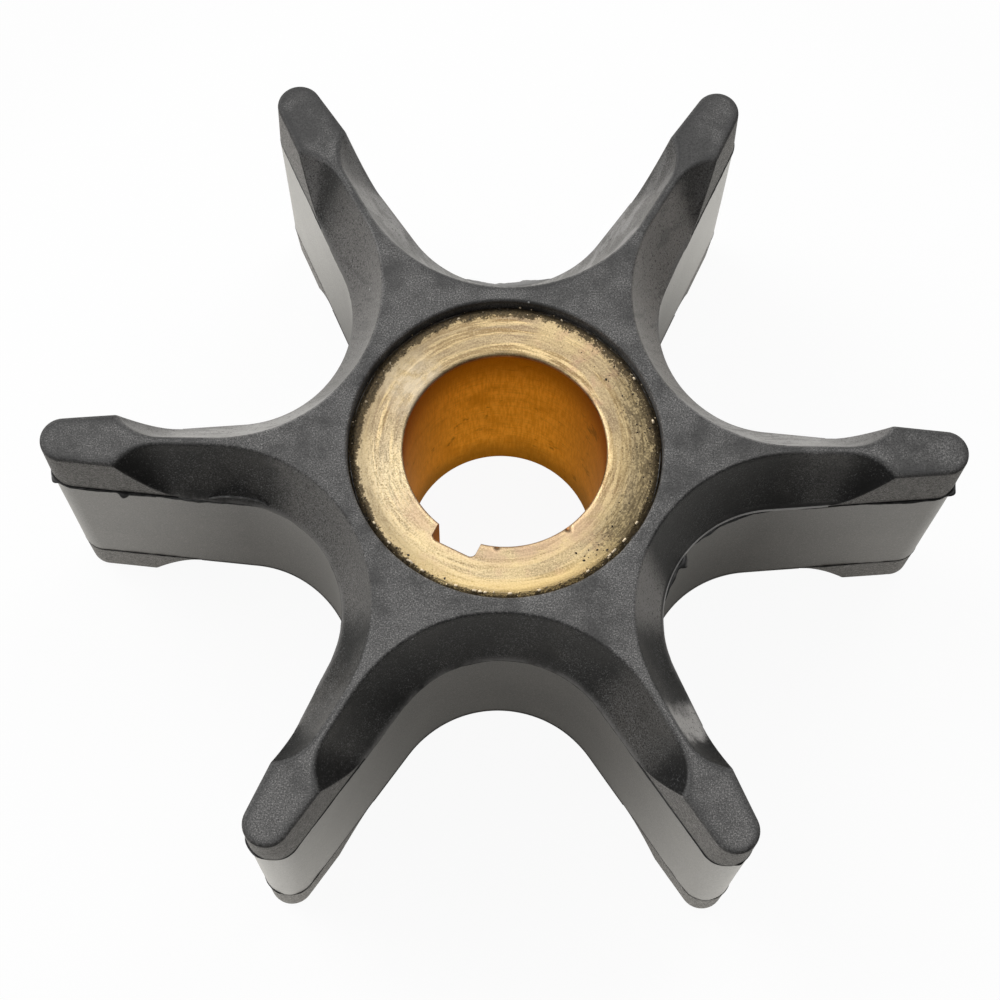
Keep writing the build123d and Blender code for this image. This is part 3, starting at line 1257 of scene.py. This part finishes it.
def make_bush():
    """The ring, from low on its outer wall up over the rim, down the bore and round the foot."""
    grid = GridMesh()
    rim = SEAT_RADIUS - RIM_CHAMFER
    rows = [bush_row(z, SEAT_RADIUS) for z in (BUSH_FOOT_Z + RIM_CHAMFER, 0, BUSH_TOP_Z - RIM_CHAMFER)]
    rows.append(bush_row(BUSH_TOP_Z - CORNER_DOWN, rim + CORNER_OUT))
    for share in spread(0, 1, FACE_STEPS) + [1.0]:
        rows.append(bush_row(BUSH_TOP_Z, rim - CORNER_IN, BORE_TOP_CHAMFER, share))
    for below, widen in BORE_MOUTH:
        rows.append(bush_row(BUSH_TOP_Z - below, None, widen))
    for z in spread(BUSH_TOP_Z - BORE_ROWS_START, BUSH_FOOT_Z + BORE_FOOT_CHAMFER, BORE_STEPS):
        rows.append(bush_row(z))
    rows.append(bush_row(BUSH_FOOT_Z + BORE_FOOT_CHAMFER))
    rows.append(bush_row(BUSH_FOOT_Z, None, BORE_FOOT_CHAMFER))
    rows.append(bush_row(BUSH_FOOT_Z, rim))
    rows.append(bush_row(BUSH_FOOT_Z + RIM_CHAMFER, SEAT_RADIUS))
    lines = [grid.row(row + row[:1]) for row in rows]
    for lower, upper in zip(lines, lines[1:]):
        grid.join(lower, upper)
    data = grid.mesh("turned_bush")
    data.polygons.foreach_set("use_smooth", [True] * len(data.polygons))
    data.set_sharp_from_angle(angle=SHARP_ANGLE)
    return data


bush_mesh = make_bush()
print("bush", len(bush_mesh.polygons), "faces")

# %% [markdown]
# The brass of the rim was faced on the lathe, so fine rings run round it. A noise gets that look
# when it is read with the direction from the axis and the radius instead of the plain place. It
# changes quickly with the radius and slowly round the rim.

# %% What the layers of the brass share
class Brass:
    """Noises and directions on the bush."""

    def __init__(self, tree):
        place, (self.x, self.y, self.z) = position(tree)
        self.radius = (self.x * self.x + self.y * self.y) ** 0.5
        self.right = self.x / self.radius
        self.back = self.y / self.radius
        self.front = self.back.ramp(-0.2, -0.9)
        self.grain = tree.noise(place, 0.16, 3.0, 0.7)
        self.patch = tree.noise(place, 1.6, 3.0, 0.6)
        self.cloud = tree.noise(place, 4.5, 2.0, 0.5)
        self.fleck = tree.noise(place, 0.2, 2.0, 0.7)
        self.lump = tree.noise(place, 1.1, 3.0, 0.65)
        self.smudge = tree.noise(place, 2.2, 4.0, 0.7)
        around = {"X": self.right * (0.9 * MM), "Y": self.back * (0.9 * MM), "Z": self.radius * MM}
        around = tree.node("ShaderNodeCombineXYZ", None, around)
        self.rings = tree.noise(around, 0.34, 3.0, 0.6)
        self.broad = tree.noise(around, 0.9, 2.0, 0.55)
        self.streaks = tree.noise(tree.scaled(around, (3.0, 3.0, 1.0)), 0.2, 3.0, 0.7)
        self.strokes = tree.noise(tree.scaled(place, (1.0, 1.0, 0.12)), 0.2, 2.0, 0.6)
        level = tree.scaled(place, (0.11, 0.11, 1.0))
        self.turned = tree.noise(level, 0.2, 2.0, 0.6)
        self.scratch = tree.noise(level, 1.1, 4.0, 0.75)


print("noises and directions of the brass ready")

# %% [markdown]
# Freshly faced brass would be one even gold with rings in it. This rim has been handled: it is pinkish
# where it has tarnished, darker towards the left and soiled on the right, and painted highlights make it
# bright at the front and towards the front left. The first layers below make the rings and clouds, and
# the later ones are named for what they show. The two knocks get painted shade last.

# %% Colour of the rim
PALE_PATCH = ((-7.5, 5.5), 4.5)


def soil_share(on):
    """How soiled the rim is here: most at its outer edge on the right."""
    soil = on.radius.ramp(8.4, 12.6) * on.right.ramp(0.0, 0.7)
    return soil * on.back.ramp(0.95, 0.3) * on.back.ramp(-0.95, -0.55)


def soil_spots(on, soil):
    """Small dark spots, denser where the rim is more soiled."""
    return (on.fleck + on.patch * 0.5 + soil * 0.42).ramp(1.04, 1.18) * soil.ramp(0.0, 0.15)


def rim_colour(tree, on, soil, spots):
    right_rear = on.right.ramp(0.1, 0.5) * on.back.ramp(0.2, 0.6)
    pink = on.patch.ramp(0.5, 0.72) * on.back.ramp(0.0, -0.8).maths("MAXIMUM", right_rear)
    # Painted highlight towards the front left.
    painted_light = on.right.ramp(0.3, -0.5) * on.back.ramp(0.4, -0.3) * on.grain.ramp(0.3, 0.6)
    inner_front = on.radius.ramp(11.0, 9.6) * on.back.ramp(-0.3, -0.75) * on.patch.ramp(0.3, 0.5)
    # Darker towards the left and towards the rear left.
    left_darkening = on.right.ramp(-0.2, -0.9) * on.radius.ramp(11.0, 12.3)
    left_darkening = left_darkening + on.right.ramp(0.1, -0.3) * on.back.ramp(0.3, 0.8) * 0.5
    streaked = on.streaks.ramp(0.5, 0.36) * on.right.ramp(0.1, -0.6) * (1 - on.front)
    (pale_x, pale_y), pale_reach = PALE_PATCH
    across, along = on.x - pale_x, on.y - pale_y
    pale = (1 - (across * across + along * along) ** 0.5 / pale_reach).ramp(0.0, 0.8)
    soiled = tree.mix(on.streaks.ramp(0.42, 0.58), (0.08, 0.062, 0.034, 1), (0.34, 0.27, 0.15, 1))
    # Painted shade in the two knocks.
    knock_shade = []
    for x_knock, y_knock, size, depth in KNOCKS:
        dark = spot(on.x, on.y, (x_knock, y_knock), 1.5 * size) * 0.8
        knock_shade.append((dark, (0.13, 0.085, 0.045, 1)))
    return tree.layered(
        tree.mix(on.rings.ramp(0.43, 0.57), (0.37, 0.25, 0.12, 1), (0.8, 0.61, 0.33, 1)),
        (on.broad.ramp(0.47, 0.55) * 0.6, (0.4, 0.31, 0.21, 1)),
        (on.cloud.ramp(0.4, 0.65) * 0.45, (0.8, 0.62, 0.32, 1)),
        (on.grain.ramp(0.5, 0.72) * 0.6, (0.92, 0.76, 0.48, 1)),
        # Painted light at the front: less dark grain, more bright grain and a brighter outer edge.
        (on.grain.ramp(0.48, 0.3) * (0.7 - 0.5 * on.front), (0.2, 0.13, 0.065, 1)),
        (pink * 0.5, (0.6, 0.37, 0.25, 1)),
        (on.front * on.grain.ramp(0.35, 0.6) * 0.4, (1.0, 0.81, 0.47, 1)),
        (on.radius.ramp(11.4, 12.6) * on.front * 0.5, (0.86, 0.62, 0.24, 1)),
        (painted_light * (0.6 - 0.35 * on.front), (1.0, 0.87, 0.6, 1)),
        (inner_front * 0.5, (0.62, 0.42, 0.29, 1)),
        (left_darkening * 0.6, (0.34, 0.265, 0.16, 1)),
        (streaked * 0.5, (0.24, 0.18, 0.1, 1)),
        (pale * on.patch.ramp(0.35, 0.6) * 0.6, (0.72, 0.62, 0.47, 1)),
        (soil * 0.88, soiled),
        (spots * 0.6, (0.09, 0.07, 0.042, 1)),
        *knock_shade,
    )


print("colour of the rim ready, with", len(KNOCKS), "knocks")

# %% [markdown]
# Inside, the brass shines back on itself and looks amber. Fine strokes run down the bore from the broach
# and fainter ones round it from the lathe. Painted shade darkens it under the rim, at the foot and
# towards both sides.

# %% Colour of the bore
def bore_colour(tree, on):
    # Painted shade towards the foot; further layers add painted shade towards both sides and under the
    # rim.
    foot = (on.z + (on.cloud - 0.5) * 5).ramp(BUSH_FOOT_Z + 6.5, BUSH_FOOT_Z + 1.0)
    return tree.layered(
        tree.mix(on.strokes.ramp(0.36, 0.64), (0.76, 0.3, 0.03, 1), (0.94, 0.4, 0.05, 1)),
        (on.turned.ramp(0.54, 0.36) * 0.25, (0.46, 0.17, 0.02, 1)),
        (on.x.maths("ABSOLUTE").ramp(3.5, 8.5) * 0.5, (0.44, 0.17, 0.035, 1)),
        (on.scratch.ramp(0.66, 0.74) * 0.6, (0.18, 0.065, 0.015, 1)),
        (on.z.ramp(BUSH_TOP_Z - 7.0, BUSH_TOP_Z - 0.5) * 0.85, (0.3, 0.09, 0.014, 1)),
        (on.cloud.ramp(0.52, 0.7) * 0.5, (0.52, 0.18, 0.015, 1)),
        (on.smudge.ramp(0.6, 0.7) * 0.6, (0.16, 0.06, 0.012, 1)),
        (foot * 0.75, (0.2, 0.07, 0.014, 1)),
    )


print("colour of the bore ready")

# %% [markdown]
# A film of rubber crept over the outer edge of the rim when the wheel was moulded. Its border is
# a circle set off by two noises, so that it frays, and it reaches further in on the right. Where
# it lies, the surface is no longer metal.

# %% Brass finish
def rubber_film(on):
    """1 where rubber covers the rim of the bush."""
    border = 13.02 - 0.5 * on.back.ramp(-0.5, 0.6) - 0.25 * on.right.ramp(-0.5, -0.95)
    fray = (on.fleck - 0.5) * (0.9 + 1.3 * on.right.ramp(0.0, 0.6))
    film = on.radius - border + (on.lump - 0.5) * (1.5 - 0.6 * on.front) + fray
    return film.ramp(-0.16, 0.16) * on.z.ramp(BUSH_TOP_Z - 2, BUSH_TOP_Z - 1)


def brass_finish():
    material, tree = new_material("turned_brass")
    on = Brass(tree)
    soil = soil_share(on)
    spots = soil_spots(on, soil)
    film = rubber_film(on)
    bore = on.z.ramp(BUSH_TOP_Z - 0.1, BUSH_TOP_Z - 0.5) * on.radius.ramp(11.5, 10.5)
    colour = tree.layered(
        rim_colour(tree, on, soil, spots),
        (bore, bore_colour(tree, on)),
        (film, tree.mix(on.fleck.ramp(0.3, 0.7), grey(0.014, 0.1), (0.12, 0.09, 0.05, 1))),
    )
    metallic = 1 - film.maths("MAXIMUM", spots * 0.7)
    roughness = 0.42 + 0.12 * on.grain + film * 0.1 - 0.06 * bore
    height = on.rings * (1 - bore) * 0.6 + on.grain * 0.35 + on.strokes * bore * 0.2
    height = height + film * 1.6 + on.fleck * film
    bump = tree.node("ShaderNodeBump", None, {"Strength": 0.5, "Distance": BUMP_DEPTH, "Height": height})
    inputs = {"Base Color": colour, "Metallic": metallic, "Roughness": roughness, "Normal": bump}
    inputs["Specular Tint"] = (0.92, 0.68, 0.4, 1)
    return finish_material(material, tree, inputs)


brass = brass_finish()
bush_mesh.materials.append(brass)
bush = bpy.data.objects.new("turned_bush", bush_mesh)
bpy.context.scene.collection.objects.link(bush)
keep_inside(bush, bush_low, bush_high)
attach(bush, "root")
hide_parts("keyed_bush")

# %% [markdown]
# Trimming the flash leaves a few curled threads of rubber on the parting line, and facing the
# bush leaves short shavings of brass on its rim. Both are small, but they tell how the part was
# made. Each follows a list of points, and one tree draws them all: a smooth curve through the
# points, a little waver, and a thin round wire along it.

# %% Paths of the threads
THREADS = [
    [
        (-25.6, -3.3, 9.0), (-24.4, -3.3, 9.5), (-23.1, -3.4, 9.65),
        (-22.0, -3.5, 9.65), (-21.0, -3.7, 9.45), (-20.4, -4.0, 9.2),
    ],
    [(-33.1, -2.9, 8.75), (-32.2, -3.0, 8.7), (-31.2, -3.05, 8.75), (-30.3, -3.1, 8.7)],
]
FIBRE = [(12.2, -21.2, 12.7), (12.45, -21.75, 12.65), (12.75, -21.5, 12.2)]
SHAVING_RADIUS = SEAT_RADIUS - 0.53
SHAVING_Z = BUSH_TOP_Z + 0.04
# Each shaving: its direction from the axis in degrees, and its size.
SHAVINGS = [
    (-148.0, 0.1), (-138.5, 0.13), (-127.6, 0.28), (-121.8, 0.14), (-108.0, 0.1), (-101.0, 0.13),
    (-98.8, 0.12), (-96.8, 0.09), (-87.6, 0.13), (-76.7, 0.1), (-57.2, 0.1), (-46.8, 0.12),
    (-44.4, 0.2), (-38.6, 0.15), (-30.3, 0.1), (12.0, 0.12), (31.0, 0.1),
]


def shaving(direction, size):
    """A short bent shaving on the rim of the bush."""
    turn = radians(direction)
    foot = Vector((SHAVING_RADIUS * cos(turn), SHAVING_RADIUS * sin(turn), SHAVING_Z))
    along = Vector((-sin(turn), cos(turn), 0.2)) * size
    return [foot - along, foot + Vector((0.2 * size, 0, 0.5 * size)), foot + along]


def thread_paths(lines):
    """A mesh of edges only, one chain for each line."""
    points, edges = [], []
    for line in lines:
        start = len(points)
        points += [Vector(p) * MM for p in line]
        edges += [(start + i, start + i + 1) for i in range(len(line) - 1)]
    data = bpy.data.meshes.new("thread_paths")
    data.from_pydata(points, edges, [])
    return data


print("threads", len(THREADS), "shavings", len(SHAVINGS))

# %% [markdown]
# A cut thread is paler than the wheel, because cutting leaves it rough. The shavings and crumbs
# are so small that one colour is enough, a little darker in places.

# %% Threads
FINE_CLOUD_SCALE = 900.0
WIRE_SIDES = 7


def thread_tree():
    tree, given = geometry_tree("curled_thread", [
        ("Thickness", "Float", 0.00009),
        ("Smoothness", "Int", 24),
        ("Waver", "Float", 0.0001),
    ])
    curve = tree.node("GeometryNodeMeshToCurve", None, {"Mesh": given["Geometry"]})
    curve = tree.node("GeometryNodeCurveSplineType", {"spline_type": "CATMULL_ROM"}, {"Curve": curve})
    curve = tree.node("GeometryNodeResampleCurve", None, {"Curve": curve, "Count": given["Smoothness"]})
    waver = wander(tree, given["Waver"], None, {"Scale": FINE_CLOUD_SCALE})
    curve = tree.node("GeometryNodeSetPosition", None, {"Geometry": curve, "Offset": waver})
    inputs = {"Resolution": WIRE_SIDES, "Radius": given["Thickness"]}
    wire = tree.node("GeometryNodeCurvePrimitiveCircle", None, inputs)
    inputs = {"Curve": curve, "Profile Curve": wire, "Fill Caps": True}
    return finish_geometry(tree, given, tree.node("GeometryNodeCurveToMesh", None, inputs))


def plain_finish(name, colour, metallic, roughness):
    """One colour, a little darker in places."""
    material, tree = new_material(name)
    uneven = tree.noise(position(tree)[0], 0.3, 2.0, 0.6).ramp(0.3, 0.7)
    dark = tuple(0.55 * part for part in colour[:3]) + (1.0,)
    inputs = {"Base Color": tree.mix(uneven, dark, colour), "Metallic": metallic, "Roughness": roughness}
    return finish_material(material, tree, inputs)


def thread_finish():
    """Grey where the cut left the rubber rough."""
    material, tree = new_material("rubbed_rubber_thread")
    worn = tree.noise(position(tree)[0], 0.5, 2.0, 0.6).ramp(0.4, 0.65)
    colour = tree.mix(worn, grey(0.025), grey(0.09, 0.01))
    return finish_material(material, tree, {"Base Color": colour, "Roughness": 0.5})


fine_thread = thread_tree()
threads = grown("curled_threads", thread_paths(THREADS), fine_thread, {"Material": thread_finish()})
keep_inside(threads, wheel_low, wheel_high)
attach(threads, "root")
pale_fibre = plain_finish("pale_fibre", grey(0.75), 0.0, 0.7)
fibre = grown("caught_fibre", thread_paths([FIBRE]), fine_thread, {"Material": pale_fibre})
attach(fibre, "root")
brass_crumb = plain_finish("brass_turning", (0.96, 0.8, 0.56, 1), 0.35, 0.45)
chips = thread_paths([shaving(*chip) for chip in SHAVINGS])
values = {"Thickness": 0.00011, "Smoothness": 5, "Material": brass_crumb}
shavings = grown("brass_shavings", chips, fine_thread, values)
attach(shavings, "root")

# %% [markdown]
# Crumbs of rubber and brass lie on the rim, most of them on the right. They are strewn by chance
# over flat rings just above the brass. Most come out small, because the chance is raised to its
# fourth power. Each is a dented ball, turned any way and flattened.

# %% Crumbs
FULL_TURN = 6.28
RING_STEPS = 60


def crumb_tree():
    tree, given = geometry_tree("strewn_crumbs", [
        ("Crumbs per square metre", "Float", 1e6),
        ("Smallest", "Float", 0.00003),
        ("Largest", "Float", 0.00012),
        ("Seed", "Int", 0),
    ])
    seed = given["Seed"]
    inputs = {"Mesh": given["Geometry"], "Density": given["Crumbs per square metre"], "Seed": seed}
    places = tree.node("GeometryNodeDistributePointsOnFaces", None, inputs)
    chance = tree.node("FunctionNodeRandomValue", {"data_type": "FLOAT"}, {"Seed": seed}, output=1)
    size = given["Smallest"] + (given["Largest"] - given["Smallest"]) * chance ** 4
    flat = tree.node("ShaderNodeCombineXYZ", None, {"X": size * 1.3, "Y": size, "Z": size * 0.7})
    any_way = {0: (0.0, 0.0, 0.0), 1: (FULL_TURN, FULL_TURN, FULL_TURN), "Seed": seed}
    turn = tree.node("FunctionNodeRandomValue", {"data_type": "FLOAT_VECTOR"}, any_way)
    crumb = tree.node("GeometryNodeMeshIcoSphere", None, {"Radius": 1.0, "Subdivisions": 2})
    dent = wander(tree, 1.6, None, {"Scale": 1.1})
    crumb = tree.node("GeometryNodeSetPosition", None, {"Geometry": crumb, "Offset": dent})
    inputs = {"Points": places, "Instance": crumb, "Rotation": turn, "Scale": flat}
    crumbs = tree.node("GeometryNodeInstanceOnPoints", None, inputs)
    crumbs = tree.node("GeometryNodeRealizeInstances", None, {"Geometry": crumbs})
    return finish_geometry(tree, given, crumbs, smooth=False)


def ring(name, inner, outer, z, start, end):
    """A flat piece of a ring, from one direction to another in degrees."""
    grid = GridMesh()
    turns = [radians(a) for a in spread(start, end, RING_STEPS) + [end]]
    near, far = [grid.row([(r * cos(a), r * sin(a), z) for a in turns]) for r in (inner, outer)]
    grid.join(far, near)
    return grid.mesh(name)


strewn_crumbs = crumb_tree()
rubber_crumb = plain_finish("rubber_crumb", (0.055, 0.042, 0.028, 1), 0.0, 0.6)
# Each piece: name, slot, finish, ring, crumbs per square metre and seed.
CRUMBS = [
    ("rubber_crumbs_left", "rubber", rubber_crumb, (12.4, 13.35, BUSH_TOP_Z, 60, 250), 2.4e6, 1),
    ("rubber_crumbs_right", "rubber", rubber_crumb, (10.8, 13.3, BUSH_TOP_Z, -60, 60), 2.2e6, 2),
    ("brass_turnings", "brass", brass_crumb, (12.6, 13.4, BUSH_TOP_Z, 0, 360), 1.6e6, 5),
]
for name, slot, finish, place, density, seed in CRUMBS:
    values = {"Crumbs per square metre": density, "Seed": seed, "Material": finish}
    crumbs = grown(name, ring(name + "_ring", *place), strewn_crumbs, values)
    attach(crumbs, "root")

# %% [markdown]
# The camera stands where the photograph was taken from: about twenty degrees from straight
# above, with a long lens. Its place was found beforehand by fitting the outline of the wheel, the
# parting lines and the bore to the photograph. It aims at a point beside the middle of the face.

# %% Camera
LENS = 77.8
CAMERA_ELEVATION = radians(70.417)
CAMERA_AZIMUTH = radians(-1.631)
CAMERA_ROLL = radians(2.361)
CAMERA_DISTANCE = 184.27
AIM_RIGHT = -0.445
AIM_UP = -4.657
NEAREST_SEEN = 0.01


def place_camera():
    """A camera looking along back, with the picture's upper edge towards up."""
    back = Vector((
        sin(CAMERA_AZIMUTH) * cos(CAMERA_ELEVATION),
        -cos(CAMERA_AZIMUTH) * cos(CAMERA_ELEVATION),
        sin(CAMERA_ELEVATION),
    ))
    level = Vector((cos(CAMERA_AZIMUTH), sin(CAMERA_AZIMUTH), 0))
    upright = back.cross(level)
    right = cos(CAMERA_ROLL) * level + sin(CAMERA_ROLL) * upright
    up = cos(CAMERA_ROLL) * upright - sin(CAMERA_ROLL) * level
    stand = Vector((0, 0, FACE_Z)) + AIM_RIGHT * right + AIM_UP * up + CAMERA_DISTANCE * back
    data = bpy.data.cameras.new("photo_camera")
    data.lens = LENS
    data.sensor_width = 36
    data.clip_start = NEAREST_SEEN
    camera = bpy.data.objects.new("photo_camera", data)
    axes = Matrix((right, up, back)).transposed()
    camera.matrix_world = Matrix.Translation(stand * MM) @ axes.to_4x4()
    bpy.context.scene.collection.objects.link(camera)
    bpy.context.scene.camera = camera
    return camera


camera = place_camera()
print("camera at", [round(v / MM, 1) for v in camera.location])

# %% [markdown]
# The photograph was taken on a white table that throws light back up, and its background was then cut out
# in pure white. So the floor does two things. To the camera it is white and shows only a hint of shadow.
# To the wheel it is a glowing sheet with painted shade, dim under the wheel and brighter beside it, and
# it is this glow that gives the walls and the bore their light.

# %% Floor
FLOOR_HALF = 3.0
FLOOR_GAP = 0.02


def floor_finish():
    """White to the camera, and to every other ray a glowing sheet near the wheel with painted shade in
    it.
    """
    material, tree = new_material("white_floor")
    camera_ray = tree.node("ShaderNodeLightPath", output="Is Camera Ray")
    x, y, z = tree.split(tree.node("ShaderNodeTexCoord", output="Object"))
    reach = (x * x + y * y) ** 0.5
    near = reach.ramp(0.095, 0.06)
    sheet = tree.mix(near, grey(0.12), grey(0.9))
    # The glow carries painted shade: dim under the wheel and in a hollow in front of it, brighter to the
    # left, beside the wheel and under the bore.
    side = y.maths("ABSOLUTE").ramp(0.005, 0.032)
    outer = reach.ramp(0.012, 0.043) ** 2 * (0.85 + 0.55 * side)
    hollow_shade = (x + 0.005).maths("ABSOLUTE").ramp(0.016, 0.003) * y.ramp(-0.012, -0.02)
    glow_pattern = 0.18 + 0.22 * x.ramp(0.03, -0.03) + outer * (1 - 0.4 * hollow_shade)
    glow_pattern = glow_pattern + 0.36 * reach.ramp(0.012, 0.009)
    painted_light = tree.mix(glow_pattern / 2, grey(0.0), (2.05, 2.0, 1.87, 1))
    painted_light = tree.mix(camera_ray, painted_light, grey(1.0))
    plain = tree.node("ShaderNodeBsdfDiffuse", None, {"Color": sheet})
    glow = tree.node("ShaderNodeEmission", None, {"Color": painted_light})
    share = camera_ray * (1 - 0.06 * near) + (1 - camera_ray) * near * 0.75
    seen = tree.node("ShaderNodeMixShader", None, {0: share, 1: plain, 2: glow})
    tree.node("ShaderNodeOutputMaterial", None, {"Surface": seen})
    return material


def make_floor():
    """A square sheet just under the wheel, which is part of the stage and not of the object."""
    data = bpy.data.meshes.new("floor")
    z = -(FACE_Z + FLOOR_GAP) * MM
    corners = [(-1, -1), (1, -1), (1, 1), (-1, 1)]
    data.from_pydata([(FLOOR_HALF * x, FLOOR_HALF * y, z) for x, y in corners], [], [(0, 1, 2, 3)])
    data.materials.append(floor_finish())
    floor = bpy.data.objects.new("floor", data)
    bpy.context.scene.collection.objects.link(floor)
    return floor


print("floor", [round(side, 2) for side in make_floor().dimensions])

# %% [markdown]
# Two large soft lamps stand behind the wheel, the stronger one on the left. The rest of the light
# comes from all round: most from the back and the left, and little from the front, so that the
# front scoops stay black. The camera sees white instead of that sky.

# %% Lights
def softbox(name, place, size, power):
    """A round lamp at this place that looks at the middle of the wheel."""
    data = bpy.data.lights.new(name, "AREA")
    data.shape = "DISK"
    data.size = size
    data.energy = power
    lamp = bpy.data.objects.new(name, data)
    lamp.location = place
    lamp.rotation_euler = (-Vector(place)).to_track_quat("-Z", "Y").to_euler()
    bpy.context.scene.collection.objects.link(lamp)
    return lamp


def make_world():
    """The light that comes from all round."""
    world = bpy.data.worlds.new("studio")
    bpy.context.scene.world = world
    world.use_nodes = True
    world.node_tree.nodes.clear()
    tree = Tree(world.node_tree)
    x, y, z = tree.split(tree.node("ShaderNodeTexCoord", output="Generated"))
    camera_ray = tree.node("ShaderNodeLightPath", output="Is Camera Ray")
    toward_light = (y * 0.8 - x * 0.45 + z * 0.2).ramp(-0.6, 0.9)
    sky = tree.layered(grey(0.12), (toward_light, grey(0.74)), (camera_ray, grey(1.0)))
    glow = tree.node("ShaderNodeBackground", None, {"Color": sky})
    tree.node("ShaderNodeOutputWorld", None, {"Surface": glow})


make_world()
lamps = [
    softbox("left_back_box", (-0.45, 0.25, 0.5), 0.5, 2.9),
    softbox("right_back_box", (0.3, 0.4, 0.55), 0.45, 1.3),
]
print("lamps", [(lamp.name, lamp.data.energy) for lamp in lamps])

# %% [markdown]
# Last, the colours are shown through Blender's Standard view transform. The visual must not be
# larger than the measured model.

# %% Finish
bpy.context.scene.view_settings.view_transform = "Standard"
